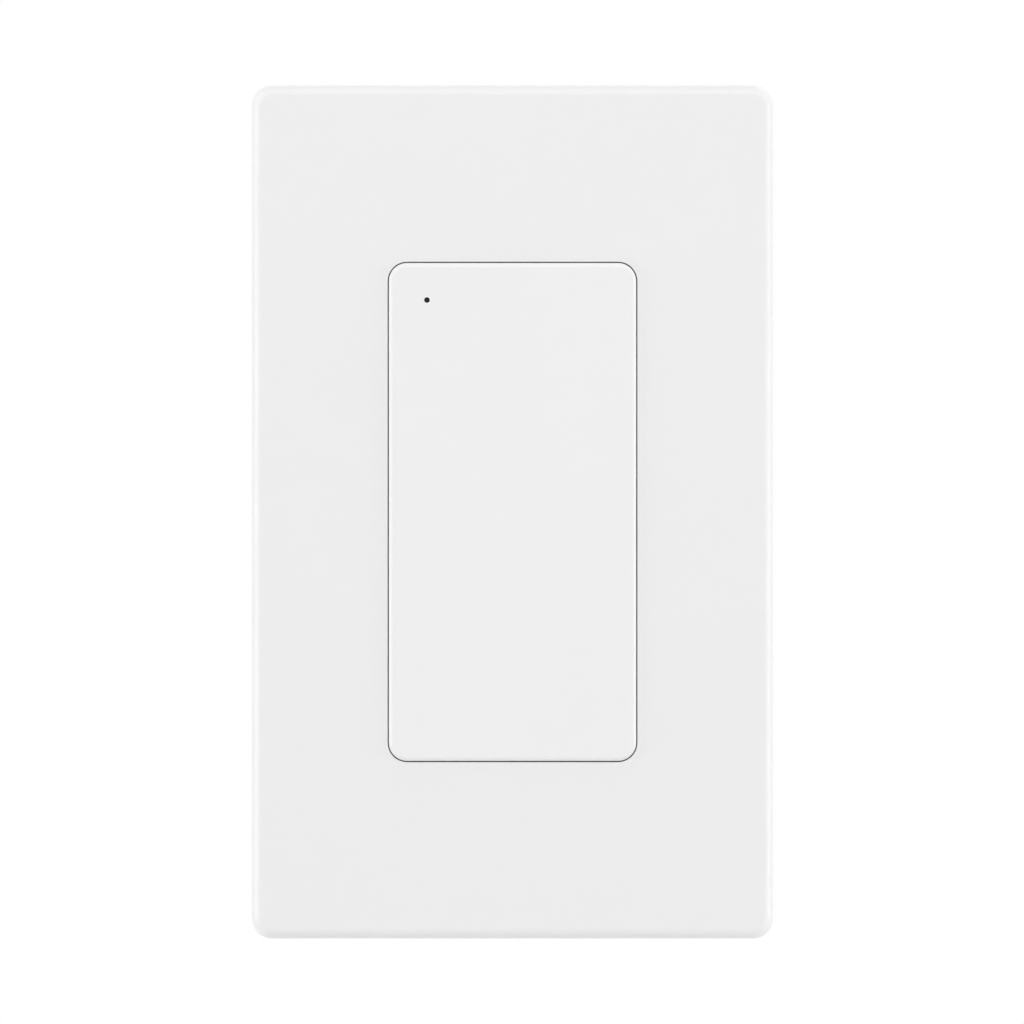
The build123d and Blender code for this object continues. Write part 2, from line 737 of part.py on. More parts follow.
# Rear housing: a stepped box with screw posts, four terminal pockets, recessed wire holes and a strip gauge
with BuildPart() as rear_housing:
    slab(housing_width, housing_height, housing_corner, housing_back, housing_front)
    fillet(rear_housing.edges().group_by(Axis.Y)[-1], housing_edge)
    control_seat = control_back - board_gap
    power_seat = power_back - board_gap
    steps = (
        (mouth_wall, control_seat, housing_front),
        (board_wall, power_seat, control_seat),
        (deep_wall, housing_inside, power_seat),
    )
    for wall, step_back, step_front in steps:
        inner = (housing_width - 2 * wall, housing_height - 2 * wall)
        slab(*inner, inside_corner, step_back, step_front, mode=Mode.SUBTRACT)
    post_front = boss_back - boss_seat
    disc(housing_post_radius, housing_inside, post_front, post_sites)
    disc(housing_screw_radius + hole_clearance, housing_back, post_front, post_sites, Mode.SUBTRACT)
    disc(housing_head_radius + part_gap, housing_back, head_seat, post_sites, Mode.SUBTRACT)
    for side, end in terminals.values():
        pocket_z = about(end * terminal_z, pocket_half)
        wall_x = (side * (pocket_floor - pocket_inner_wall), side * (housing_width / 2 - housing_edge))
        wall_z = about(end * terminal_z, pocket_half + pocket_side_wall)
        block(wall_x, (housing_inside, pocket_front + pocket_wall), wall_z)
        pocket_x = (side * pocket_floor, side * (housing_width / 2 + housing_edge))
        block(pocket_x, (housing_inside, pocket_front), pocket_z, Mode.SUBTRACT)
        tip_x = (side * (pocket_floor - terminal_screw_length - board_clearance), side * pocket_floor)
        tip_radius = terminal_screw_radius + hole_clearance
        rod(tip_radius, tip_x, terminal_height, end * terminal_z, Mode.SUBTRACT)
        tab_slot(side, end, pocket_front, pocket_front + pocket_wall)
        wire_x = side * (pocket_floor + wire_hole_offset_x)
        wire_sites = [(wire_x, z) for z in about(end * terminal_z, wire_hole_offset_z)]
        disc(wire_hole_radius, housing_back, housing_inside, wire_sites, Mode.SUBTRACT)
        disc(funnel_radius, housing_back, housing_back + funnel_depth, wire_sites, Mode.SUBTRACT)
    gauge_front = housing_back + gauge_depth
    slab(gauge_width, gauge_length, gauge_corner, housing_back, gauge_front, [(0, gauge_z)], Mode.SUBTRACT)
    panel_front = housing_back + panel_depth
    slab(panel_width, panel_height, window_corner, housing_back, panel_front, [(0, panel_z)], Mode.SUBTRACT)
    groove_heights = (housing_back + groove_inset, boss_back)
    for end in sides:
        groove_z = (end * (housing_height / 2 - groove_depth), end * (housing_height / 2 + groove_depth))
        for column in groove_columns:
            groove_x = about(column * groove_pitch, groove_width / 2)
            block(groove_x, groove_heights, groove_z, Mode.SUBTRACT)
save(rear_housing.part, "rear_housing")

# Housing screws: from the back through the posts into the frame's bosses
with BuildPart() as housing_screws:
    disc(housing_screw_radius, head_seat, housing_screw_tip, post_sites)
    disc(housing_head_radius, head_seat - housing_head, head_seat, post_sites)
    cross_heights = (head_seat - housing_head, head_seat - housing_head / 2)
    for x, z in post_sites:
        block(about(x, cross_half_length), cross_heights, about(z, cross_half_width), Mode.SUBTRACT)
        block(about(x, cross_half_width), cross_heights, about(z, cross_half_length), Mode.SUBTRACT)
save(housing_screws.part, "housing_screws")

# Terminals: in each pocket a plate with a solder tab, a clamp plate and a screw through both
plate_face = pocket_floor + terminal_seat + terminal_thickness
clamp_face = plate_face + clamp_gap + terminal_thickness
head_face = clamp_face + screw_fit
head_end = head_face + terminal_head
for role, (side, end) in terminals.items():
    middle_z = end * terminal_z
    tab_front = strap_back - terminal_seat if role == "ground" else power_front + tab_reach
    plate_x = (side * (pocket_floor + terminal_seat), side * plate_face)
    with BuildPart() as terminal_plate:
        plate_top = pocket_front - board_gap
        block(plate_x, (plate_top - terminal_tall, plate_top), about(middle_z, terminal_width / 2))
        block(plate_x, (plate_top, tab_front), about(middle_z, tab_width / 2))
        tapped = terminal_screw_radius + thread_clearance
        rod(tapped, plate_x, terminal_height, middle_z, Mode.SUBTRACT)
    save(terminal_plate.part, f"terminal_plate_{role}")

    with BuildPart() as clamp_plate:
        clamp_x = (side * (plate_face + clamp_gap), side * clamp_face)
        block(clamp_x, about(terminal_height, clamp_tall / 2), about(middle_z, terminal_width / 2))
        rod(terminal_screw_radius + hole_clearance, clamp_x, terminal_height, middle_z, Mode.SUBTRACT)
    save(clamp_plate.part, f"clamp_plate_{role}")

    with BuildPart() as terminal_screw:
        shank_x = (side * (pocket_floor - terminal_screw_length), side * head_face)
        rod(terminal_screw_radius, shank_x, terminal_height, middle_z)
        rod(terminal_head_radius, (side * head_face, side * head_end), terminal_height, middle_z)
        slot_x = (side * (head_end - terminal_slot), side * head_end)
        across = about(terminal_height, terminal_head_radius)
        block(slot_x, across, about(middle_z, terminal_slot / 2), Mode.SUBTRACT)
        cross = about(middle_z, terminal_head)
        block(slot_x, about(terminal_height, terminal_slot / 2), cross, Mode.SUBTRACT)
    save(terminal_screw.part, f"terminal_screw_{role}")
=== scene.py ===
import json
import math

import bmesh
import bpy
from mathutils import Matrix, Vector

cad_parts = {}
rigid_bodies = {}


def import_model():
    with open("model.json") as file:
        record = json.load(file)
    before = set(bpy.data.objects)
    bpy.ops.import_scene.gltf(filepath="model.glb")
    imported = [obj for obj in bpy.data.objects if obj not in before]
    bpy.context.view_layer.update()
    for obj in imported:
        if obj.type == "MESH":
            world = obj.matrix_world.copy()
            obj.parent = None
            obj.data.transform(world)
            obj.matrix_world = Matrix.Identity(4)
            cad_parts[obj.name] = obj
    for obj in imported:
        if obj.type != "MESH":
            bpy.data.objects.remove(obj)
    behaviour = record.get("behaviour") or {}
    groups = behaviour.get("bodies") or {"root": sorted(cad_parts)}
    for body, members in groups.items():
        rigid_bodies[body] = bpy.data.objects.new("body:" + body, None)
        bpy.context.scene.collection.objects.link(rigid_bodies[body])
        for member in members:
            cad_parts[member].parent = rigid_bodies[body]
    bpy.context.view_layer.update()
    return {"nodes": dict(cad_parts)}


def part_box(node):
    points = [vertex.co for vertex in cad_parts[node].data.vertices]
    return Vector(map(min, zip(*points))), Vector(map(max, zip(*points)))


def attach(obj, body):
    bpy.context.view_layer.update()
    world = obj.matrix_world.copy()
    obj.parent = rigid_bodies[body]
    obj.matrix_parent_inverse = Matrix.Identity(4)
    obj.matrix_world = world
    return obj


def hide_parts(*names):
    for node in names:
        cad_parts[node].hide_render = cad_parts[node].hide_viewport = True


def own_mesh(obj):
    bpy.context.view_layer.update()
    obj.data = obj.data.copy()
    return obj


# Smart wall switch: white plate and paddle, charcoal wall-box housing, side terminals.
# Lengths in the dictionaries are millimetres, the scene itself is in metres.

for leftOver in list(bpy.data.objects):
    bpy.data.objects.remove(leftOver)

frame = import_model()
cad = frame["nodes"]
mm = 0.001
terminalRoles = ("line", "load", "neutral", "ground")
print("switch: frame loaded with", len(cad), "nodes")


# Node helpers

def put(tree, kind, inputs=None, **settings):
    node = tree.nodes.new(kind)
    for name, value in settings.items():
        setattr(node, name, value)
    for name, value in (inputs or {}).items():
        if isinstance(value, bpy.types.NodeSocket):
            tree.links.new(value, node.inputs[name])
        else:
            node.inputs[name].default_value = value
    return node


def calc(tree, operation, a, b=0.0, c=0.0):
    return put(tree, "ShaderNodeMath", {0: a, 1: b, 2: c}, operation=operation).outputs[0]


def blendColour(tree, factor, a, b):
    node = put(tree, "ShaderNodeMix", {0: factor, 6: a, 7: b}, data_type="RGBA")
    return node.outputs[2]


def opaque(colour):
    return (*colour, 1)


def betweenTones(tree, factor, look):
    return blendColour(tree, factor, opaque(look["deep"]), opaque(look["tone"]))


def remap(tree, value, low, high, toLow=0.0, toHigh=1.0):
    node = put(tree, "ShaderNodeMapRange", {"Value": value, "From Min": low, "From Max": high,
                                            "To Min": toLow, "To Max": toHigh})
    return node.outputs["Result"]


def newGroup(name, takes, gives):
    tree = bpy.data.node_groups.new(name, "ShaderNodeTree")
    for socketName, value in takes.items():
        kind = "NodeSocketVector" if isinstance(value, tuple) else "NodeSocketFloat"
        tree.interface.new_socket(socketName, in_out="INPUT", socket_type=kind).default_value = value
    for socketName in gives:
        tree.interface.new_socket(socketName, in_out="OUTPUT", socket_type="NodeSocketFloat")
    return tree, put(tree, "NodeGroupInput"), put(tree, "NodeGroupOutput")


def effect(tree, group, values):
    return put(tree, "ShaderNodeGroup", values, node_tree=group)


# Spark-eroded mould texture: fine pebbles, and slow tone where the melt flowed
def makeMouldGrain():
    tree, inlet, outlet = newGroup("mouldGrain", {"Pebble": 4200.0, "Flow": 38.0}, ("Height", "Tone"))
    place = put(tree, "ShaderNodeTexCoord").outputs["Object"]
    pebble = put(tree, "ShaderNodeTexNoise", {"Vector": place, "Scale": inlet.outputs["Pebble"],
                                              "Detail": 3.0, "Roughness": 0.62})
    coarse = put(tree, "ShaderNodeTexVoronoi", {"Vector": place, "Scale": inlet.outputs["Pebble"]})
    height = calc(tree, "MULTIPLY_ADD", coarse.outputs["Distance"], 0.35, pebble.outputs["Fac"])
    flow = put(tree, "ShaderNodeTexNoise", {"Vector": place, "Scale": inlet.outputs["Flow"],
                                            "Detail": 2.0, "Distortion": 0.8})
    tree.links.new(height, outlet.inputs["Height"])
    tree.links.new(remap(tree, flow.outputs["Fac"], 0.3, 0.7), outlet.inputs["Tone"])
    return tree


# Rolled or turned metal: long fine lines along one axis and soft patches of plating
def makeDrawnLines():
    tree, inlet, outlet = newGroup("drawnLines", {"Stretch": (60.0, 2600.0, 2600.0), "Patch": 160.0},
                                   ("Height", "Shade", "Patch"))
    place = put(tree, "ShaderNodeTexCoord").outputs["Object"]
    stretched = put(tree, "ShaderNodeVectorMath", {0: place, 1: inlet.outputs["Stretch"]},
                    operation="MULTIPLY").outputs["Vector"]
    lines = put(tree, "ShaderNodeTexNoise", {"Vector": stretched, "Scale": 1.0, "Detail": 4.0,
                                             "Roughness": 0.7})
    patch = put(tree, "ShaderNodeTexVoronoi", {"Vector": place, "Scale": inlet.outputs["Patch"]},
                feature="SMOOTH_F1")
    tree.links.new(lines.outputs["Fac"], outlet.inputs["Height"])
    tree.links.new(remap(tree, lines.outputs["Fac"], 0.32, 0.68), outlet.inputs["Shade"])
    tree.links.new(patch.outputs["Distance"], outlet.inputs["Patch"])
    return tree


# Dust and painted shade in corners and recesses: one minus ambient occlusion, speckled, seen as a mask
def makeDustAndShadeGroup():
    tree, inlet, outlet = newGroup("dustAndShadeGroup", {"Reach": 0.0015, "Speckle": 1400.0}, ("Mask",))
    place = put(tree, "ShaderNodeTexCoord").outputs["Object"]
    hollow = put(tree, "ShaderNodeAmbientOcclusion", {"Distance": inlet.outputs["Reach"]}, samples=6)
    speckle = put(tree, "ShaderNodeTexNoise", {"Vector": place, "Scale": inlet.outputs["Speckle"],
                                               "Detail": 3.0})
    # painted shade: the mask grows where ambient occlusion finds a corner or recess
    shade = calc(tree, "SUBTRACT", 1.0, hollow.outputs["AO"])
    tree.links.new(calc(tree, "MULTIPLY", shade, speckle.outputs["Fac"]), outlet.inputs["Mask"])
    return tree


mouldGrain = makeMouldGrain()
drawnLines = makeDrawnLines()
dustAndShadeGroup = makeDustAndShadeGroup()


def startMaterial(name):
    made = bpy.data.materials.new(name)
    made.use_nodes = True
    made.node_tree.nodes.clear()
    return made, made.node_tree


def endMaterial(tree, shader):
    put(tree, "ShaderNodeOutputMaterial", {"Surface": shader})


def endPrincipled(made, tree, inputs):
    endMaterial(tree, put(tree, "ShaderNodeBsdfPrincipled", inputs).outputs["BSDF"])
    return made


def bumpFrom(tree, height, strength, distance):
    return put(tree, "ShaderNodeBump", {"Height": height, "Strength": strength,
                                        "Distance": distance * mm}).outputs["Normal"]


# A veil of dust and painted shade in corners and recesses, where the finish asks for one
def dustedAndShaded(tree, colour, look, usual):
    if not look.get("dustAndShade"):
        return colour
    dustAndShade = effect(tree, dustAndShadeGroup, {"Reach": look.get("dustAndShadeReach", usual["reach"]) * mm,
                                      "Speckle": usual["speckle"]})
    # painted shade in corners and recesses, and dust, blended into the colour
    dustAndShadeVeil = calc(tree, "MULTIPLY", dustAndShade.outputs["Mask"], look["dustAndShade"])
    return blendColour(tree, dustAndShadeVeil, colour, opaque(look.get("dustAndShadeTone", usual["tone"])))


# the corner tone darkens recesses of the pale plastics, which is painted shade, and lightens the dark
# plastics like dust
plasticUsual = {"flow": 38.0, "ior": 1.5, "coatRough": 0.1,
                "dustAndShade": {"reach": 1.2, "speckle": 1400.0, "tone": (0.42, 0.40, 0.37)}}


def mouldedPlastic(name, look):
    made, tree = startMaterial(name)
    grain = effect(tree, mouldGrain, {"Pebble": look["pebble"], "Flow": plasticUsual["flow"]})
    colour = dustedAndShaded(tree, betweenTones(tree, grain.outputs["Tone"], look), look, plasticUsual["dustAndShade"])
    rough = remap(tree, grain.outputs["Height"], 0.4, 0.9, look["rough"] - 0.05, look["rough"] + 0.06)
    inputs = {"Base Color": colour, "Roughness": rough, "IOR": look.get("ior", plasticUsual["ior"]),
              "Normal": bumpFrom(tree, grain.outputs["Height"], 1.0, look["relief"])}
    if look.get("coat"):
        inputs.update({"Coat Weight": look["coat"], "Coat Roughness": plasticUsual["coatRough"]})
    return endPrincipled(made, tree, inputs)


# the corner tone is dark: painted shade in the metals' slots, corners and recesses
metalUsual = {"patch": 160.0, "patchMix": 0.35, "bump": 0.6,
              "dustAndShade": {"reach": 0.6, "speckle": 2400.0, "tone": (0.12, 0.11, 0.10)}}


def platedMetal(name, look):
    made, tree = startMaterial(name)
    lines = effect(tree, drawnLines, {"Stretch": look["stretch"],
                                      "Patch": look.get("patch", metalUsual["patch"])})
    patched = remap(tree, lines.outputs["Patch"], 0.0, 0.9, 0.0, metalUsual["patchMix"])
    colour = blendColour(tree, patched, betweenTones(tree, lines.outputs["Shade"], look),
                         opaque(look.get("patchTone", look["deep"])))
    rough = remap(tree, lines.outputs["Shade"], 0.0, 1.0, look["rough"] + 0.08, look["rough"] - 0.04)
    return endPrincipled(made, tree, {
        "Base Color": dustedAndShaded(tree, colour, look, metalUsual["dustAndShade"]), "Roughness": rough, "Metallic": 1.0,
        "Normal": bumpFrom(tree, lines.outputs["Height"], metalUsual["bump"], look["relief"])})


# Fibre sheet: pressed paper fibres, matt
def pressedFibre(name, look):
    made, tree = startMaterial(name)
    place = put(tree, "ShaderNodeTexCoord").outputs["Object"]
    fibres = put(tree, "ShaderNodeTexNoise", {"Vector": place, "Scale": look["fibre"], "Detail": 5.0,
                                              "Roughness": 0.8, "Distortion": 2.4})
    return endPrincipled(made, tree, {
        "Base Color": betweenTones(tree, remap(tree, fibres.outputs["Fac"], 0.35, 0.7), look),
        "Roughness": look["rough"],
        "Normal": bumpFrom(tree, fibres.outputs["Fac"], 0.8, look["relief"])})


boardLook = {  # hole and ring are distances from a hole's middle, in the pattern's own scale
    # inside: the near-black colour in each hole, painted shade
    "hole": (0.05, 0.06), "ring": (0.10, 0.11), "inside": (0.012, 0.012, 0.010),
    "rough": (0.34, 0.27), "tinning": 0.9, "relief": 0.035,
}


# Solder mask over copper runs, with plated holes whose insides are painted near black as painted shade; the
# cut edge shows the bare glass laminate
def circuitBoard(name, look):
    made, tree = startMaterial(name)
    coords = put(tree, "ShaderNodeTexCoord")
    parts = put(tree, "ShaderNodeSeparateXYZ", {"Vector": coords.outputs["Object"]})
    flat = put(tree, "ShaderNodeCombineXYZ", {"X": parts.outputs["X"], "Y": parts.outputs["Z"]})
    runs = put(tree, "ShaderNodeTexBrick", {"Vector": flat.outputs["Vector"], "Scale": look["runs"],
                                            "Mortar Size": 0.035, "Mortar Smooth": 0.15, "Bias": 0.2},
               offset=0.37, squash=1.6, squash_frequency=3)
    holes = put(tree, "ShaderNodeTexVoronoi", {"Vector": flat.outputs["Vector"], "Scale": look["holes"],
                                               "Randomness": 0.55}, voronoi_dimensions="2D")
    hole, tin = (remap(tree, holes.outputs["Distance"], *boardLook[edge], 1.0, 0.0)
                 for edge in ("hole", "ring"))
    ring = calc(tree, "SUBTRACT", tin, hole)
    copper = blendColour(tree, runs.outputs["Fac"], opaque(look["tone"]), opaque(look["raised"]))
    tinned = blendColour(tree, ring, copper, opaque(look["pad"]))
    # painted shade: each hole is coloured near black
    drilledAndShaded = blendColour(tree, hole, tinned, opaque(boardLook["inside"]))
    facing = put(tree, "ShaderNodeSeparateXYZ", {"Vector": coords.outputs["Normal"]})
    edge = calc(tree, "LESS_THAN", calc(tree, "ABSOLUTE", facing.outputs["Y"]), 0.5)
    height = calc(tree, "ADD", runs.outputs["Fac"], ring)
    return endPrincipled(made, tree, {
        "Base Color": blendColour(tree, edge, drilledAndShaded, opaque(look["laminate"])),
        "Roughness": remap(tree, runs.outputs["Fac"], 0, 1, *boardLook["rough"]),
        "Metallic": calc(tree, "MULTIPLY", ring, boardLook["tinning"]),
        "Normal": bumpFrom(tree, height, 1.0, boardLook["relief"])})


# Wound tape and magnet wire: parallel turns across one axis
def woundTurns(name, look):
    made, tree = startMaterial(name)
    place = put(tree, "ShaderNodeTexCoord").outputs["Object"]
    turns = put(tree, "ShaderNodeTexWave", {"Vector": place, "Scale": look["turns"], "Distortion": 0.6,
                                            "Detail": 1.0, "Detail Scale": 2.0},
                wave_type="BANDS", bands_direction=look["across"])
    return endPrincipled(made, tree, {
        "Base Color": betweenTones(tree, turns.outputs["Fac"], look), "Roughness": look["rough"],
        "Normal": bumpFrom(tree, turns.outputs["Fac"], 1.0, look["relief"])})


# Clear moulding, for the light guide
def clearPlastic(name, look):
    made, tree = startMaterial(name)
    grain = effect(tree, mouldGrain, {"Pebble": look["pebble"], "Flow": look["flow"]})
    rough = remap(tree, grain.outputs["Height"], 0.4, 0.9, look["rough"], look["rough"] + 0.05)
    return endPrincipled(made, tree, {
        "Base Color": betweenTones(tree, grain.outputs["Tone"], look), "Roughness": rough,
        "IOR": look["ior"], "Transmission Weight": look["clear"],
        "Normal": bumpFrom(tree, grain.outputs["Height"], 0.6, look["relief"])})


# Finishes, one for each of the record's material slots

whitePebble = 5200.0
# Each finish's corner colour amount, reach and tone: painted shade where it darkens, dust where it lightens
finishes = {
    "plate_white": (mouldedPlastic, {"tone": (0.808, 0.808, 0.808), "deep": (0.803, 0.803, 0.803),
                                     "pebble": whitePebble, "relief": 0.003, "rough": 0.42}),
    "paddle_white": (mouldedPlastic, {"tone": (0.822, 0.822, 0.822), "deep": (0.817, 0.817, 0.817),
                                      "pebble": whitePebble, "relief": 0.002, "rough": 0.36}),
    "carrier_white": (mouldedPlastic, {"tone": (0.72, 0.72, 0.70), "deep": (0.66, 0.66, 0.64),
                                       "pebble": 3600.0, "relief": 0.008, "rough": 0.55, "dustAndShade": 0.5}),
    "frame_white": (mouldedPlastic, {"tone": (0.76, 0.76, 0.75), "deep": (0.72, 0.72, 0.71),
                                    "pebble": 3000.0, "relief": 0.010, "rough": 0.5, "dustAndShade": 0.3}),
    "housing_charcoal": (mouldedPlastic, {"tone": (0.030, 0.031, 0.033), "deep": (0.021, 0.022, 0.024),
                                          "pebble": 2400.0, "relief": 0.014, "rough": 0.48,
                                          "dustAndShade": 0.22, "dustAndShadeReach": 2.0, "dustAndShadeTone": (0.20, 0.19, 0.18)}),
    "black_plastic": (mouldedPlastic, {"tone": (0.022, 0.022, 0.023), "deep": (0.014, 0.014, 0.015),
                                       "pebble": 5200.0, "relief": 0.008, "rough": 0.42, "dustAndShade": 0.1}),
    "plunger_grey": (mouldedPlastic, {"tone": (0.16, 0.16, 0.165), "deep": (0.13, 0.13, 0.135),
                                      "pebble": 5200.0, "relief": 0.006, "rough": 0.5}),
    "barrier_white": (mouldedPlastic, {"tone": (0.66, 0.66, 0.62), "deep": (0.58, 0.58, 0.54),
                                       "pebble": 3000.0, "relief": 0.008, "rough": 0.6, "dustAndShade": 0.4}),
    "relay_black": (mouldedPlastic, {"tone": (0.030, 0.031, 0.034), "deep": (0.018, 0.019, 0.021),
                                     "pebble": 3800.0, "relief": 0.010, "rough": 0.4, "dustAndShade": 0.15}),
    "module_blue": (circuitBoard, {"tone": (0.010, 0.035, 0.105), "raised": (0.020, 0.060, 0.165),
                                   "pad": (0.78, 0.62, 0.34), "laminate": (0.40, 0.36, 0.20),
                                   "runs": 900.0, "holes": 520.0}),
    "board_green": (circuitBoard, {"tone": (0.008, 0.070, 0.028), "raised": (0.016, 0.125, 0.048),
                                   "pad": (0.74, 0.74, 0.72), "laminate": (0.46, 0.42, 0.22),
                                   "runs": 420.0, "holes": 260.0}),
    "lamp_white": (mouldedPlastic, {"tone": (0.78, 0.76, 0.62), "deep": (0.70, 0.66, 0.48),
                                    "pebble": 9000.0, "relief": 0.002, "rough": 0.3, "coat": 0.4}),
    "ferrite": (mouldedPlastic, {"tone": (0.060, 0.058, 0.056), "deep": (0.034, 0.033, 0.032),
                                 "pebble": 2600.0, "relief": 0.020, "rough": 0.55}),
    "film_yellow": (mouldedPlastic, {"tone": (0.72, 0.47, 0.06), "deep": (0.64, 0.40, 0.045),
                                     "pebble": 4000.0, "relief": 0.006, "rough": 0.36, "dustAndShade": 0.2}),
    "varistor_blue": (mouldedPlastic, {"tone": (0.020, 0.080, 0.30), "deep": (0.012, 0.050, 0.21),
                                       "pebble": 900.0, "relief": 0.03, "rough": 0.3, "coat": 0.5}),
    "fuse_brown": (mouldedPlastic, {"tone": (0.115, 0.045, 0.022), "deep": (0.075, 0.028, 0.014),
                                    "pebble": 3200.0, "relief": 0.008, "rough": 0.38, "coat": 0.2}),
    "capacitor_sleeve": (mouldedPlastic, {"tone": (0.028, 0.030, 0.060), "deep": (0.018, 0.020, 0.042),
                                          "pebble": 1600.0, "relief": 0.006, "rough": 0.28, "coat": 0.6}),
    "fibre_card": (pressedFibre, {"tone": (0.52, 0.36, 0.19), "deep": (0.34, 0.22, 0.10),
                                  "fibre": 2200.0, "relief": 0.02, "rough": 0.85}),
    "winding_tape": (woundTurns, {"tone": (0.80, 0.60, 0.10), "deep": (0.62, 0.44, 0.05),
                                  "turns": 620.0, "across": "Y", "relief": 0.03, "rough": 0.35}),
    "plated_steel": (platedMetal, {"tone": (0.66, 0.66, 0.64), "deep": (0.50, 0.50, 0.49),
                                   "patchTone": (0.44, 0.445, 0.45), "stretch": (900.0, 2600.0, 60.0),
                                   "patch": 240.0, "relief": 0.004, "rough": 0.36, "dustAndShade": 0.5}),
    "screw_steel": (platedMetal, {"tone": (0.68, 0.68, 0.66), "deep": (0.52, 0.52, 0.51),
                                  "stretch": (1800.0, 160.0, 1800.0), "patch": 900.0,
                                  "relief": 0.004, "rough": 0.30, "dustAndShade": 0.9, "dustAndShadeReach": 0.4}),
    "black_steel": (platedMetal, {"tone": (0.075, 0.075, 0.078), "deep": (0.040, 0.040, 0.042),
                                  "stretch": (1400.0, 1400.0, 1400.0), "patch": 900.0,
                                  "relief": 0.006, "rough": 0.38, "dustAndShade": 0.5, "dustAndShadeReach": 0.4}),
    "spring_steel": (platedMetal, {"tone": (0.62, 0.62, 0.62), "deep": (0.48, 0.48, 0.48),
                                   "stretch": (1200.0, 1200.0, 1200.0), "relief": 0.002, "rough": 0.25}),
    "tinned_steel": (platedMetal, {"tone": (0.74, 0.74, 0.72), "deep": (0.62, 0.62, 0.61),
                                   "stretch": (120.0, 2400.0, 2400.0), "patch": 420.0,
                                   "relief": 0.003, "rough": 0.28, "dustAndShade": 0.2}),
    "silver_steel": (platedMetal, {"tone": (0.70, 0.70, 0.69), "deep": (0.55, 0.55, 0.55),
                                   "stretch": (160.0, 1800.0, 1800.0), "patch": 900.0,
                                   "relief": 0.004, "rough": 0.28, "dustAndShade": 0.8, "dustAndShadeReach": 0.4}),
    "brass": (platedMetal, {"tone": (0.78, 0.56, 0.22), "deep": (0.60, 0.40, 0.14),
                            "stretch": (160.0, 1800.0, 1800.0), "patch": 700.0,
                            "relief": 0.004, "rough": 0.28, "dustAndShade": 0.8, "dustAndShadeReach": 0.4}),
    "brass_plate": (platedMetal, {"tone": (0.74, 0.54, 0.24), "deep": (0.58, 0.40, 0.16),
                                  "stretch": (2600.0, 2600.0, 90.0), "patch": 320.0,
                                  "relief": 0.004, "rough": 0.34, "dustAndShade": 0.6}),
    "green_metal": (platedMetal, {"tone": (0.055, 0.30, 0.10), "deep": (0.030, 0.20, 0.060),
                                  "stretch": (160.0, 1800.0, 1800.0), "patch": 700.0,
                                  "relief": 0.004, "rough": 0.30, "dustAndShade": 0.7, "dustAndShadeReach": 0.4}),
    "smoked_plastic": (mouldedPlastic, {"tone": (0.016, 0.016, 0.017), "deep": (0.010, 0.010, 0.011),
                                        "pebble": 9000.0, "relief": 0.001, "rough": 0.3, "ior": 1.3}),
    "clear_plastic": (clearPlastic, {"tone": (0.94, 0.96, 0.96), "deep": (0.90, 0.93, 0.93),
                                     "pebble": 2600.0, "flow": 220.0, "relief": 0.002, "rough": 0.06,
                                     "ior": 1.49, "clear": 1.0}),
}
materials = {slot: make(slot.title().replace("_", ""), look) for slot, (make, look) in finishes.items()}
for node in cad.values():
    for materialSlot in node.material_slots:
        materialSlot.material = materials[materialSlot.material.name]
print("switch:", len(materials), "finishes")


# Mesh helpers

def standAt(point, facing, up="Y"):
    turn = Vector(facing).to_track_quat("Z", up).to_matrix().to_4x4()
    return Matrix.Translation(Vector(point) * mm) @ turn @ Matrix.Scale(mm, 4)


# A profile of (along, radius) pairs turned about its place's Z; a radius of 0 closes it
def addLathe(shape, profile, place, segments=48):
    rings = []
    for along, radius in profile:
        if radius == 0:
            rings.append([shape.verts.new(place @ Vector((0, 0, along)))])
            continue
        turns = [math.tau * k / segments for k in range(segments)]
        points = [(radius * math.cos(turn), radius * math.sin(turn), along) for turn in turns]
        rings.append([shape.verts.new(place @ Vector(point)) for point in points])
    for low, high in zip(rings, rings[1:]):
        for k in range(segments):
            after = (k + 1) % segments
            corners = [low[k % len(low)], low[after % len(low)],
                       high[after % len(high)], high[k % len(high)]]
            shape.faces.new(list(dict.fromkeys(corners)))


def addBlock(shape, low, high, place=None):
    made = bmesh.ops.create_cube(shape, size=1.0)["verts"]
    middle, span = (Vector(high) + Vector(low)) / 2, Vector(high) - Vector(low)
    for vert in made:
        vert.co = Vector(vert.co[k] * span[k] + middle[k] for k in range(3))
        vert.co = place @ vert.co if place else vert.co * mm
    return made


# A flat outline pushed through a thickness, along Z or along Y
def addPrism(shape, outline, start, end, along="Z"):
    rings = []
    for level in (start, end):
        corners = [(u, v, level) if along == "Z" else (u, level, v) for u, v in outline]
        rings.append([shape.verts.new(Vector(corner) * mm) for corner in corners])
    for k in range(len(outline)):
        after = (k + 1) % len(outline)
        shape.faces.new((rings[0][k], rings[0][after], rings[1][after], rings[1][k]))
    shape.faces.new(rings[0])
    shape.faces.new(rings[1][::-1])


def clippedCorners(low, high, clip):
    (left, bottom), (right, top) = low, high
    return [(left + clip, bottom), (right - clip, bottom), (right, bottom + clip), (right, top - clip),
            (right - clip, top), (left + clip, top), (left, top - clip), (left, bottom + clip)]


threadForm = {  # depth and tipDrop in pitches, root and crest as shares of a turn
    "depth": 0.61, "root": (0.0, 0.12), "crest": (0.44, 0.56), "around": 40,
    "tipLength": 0.7, "tipDrop": 0.25, "tipRise": 0.6, "tipCore": 0.55,
}


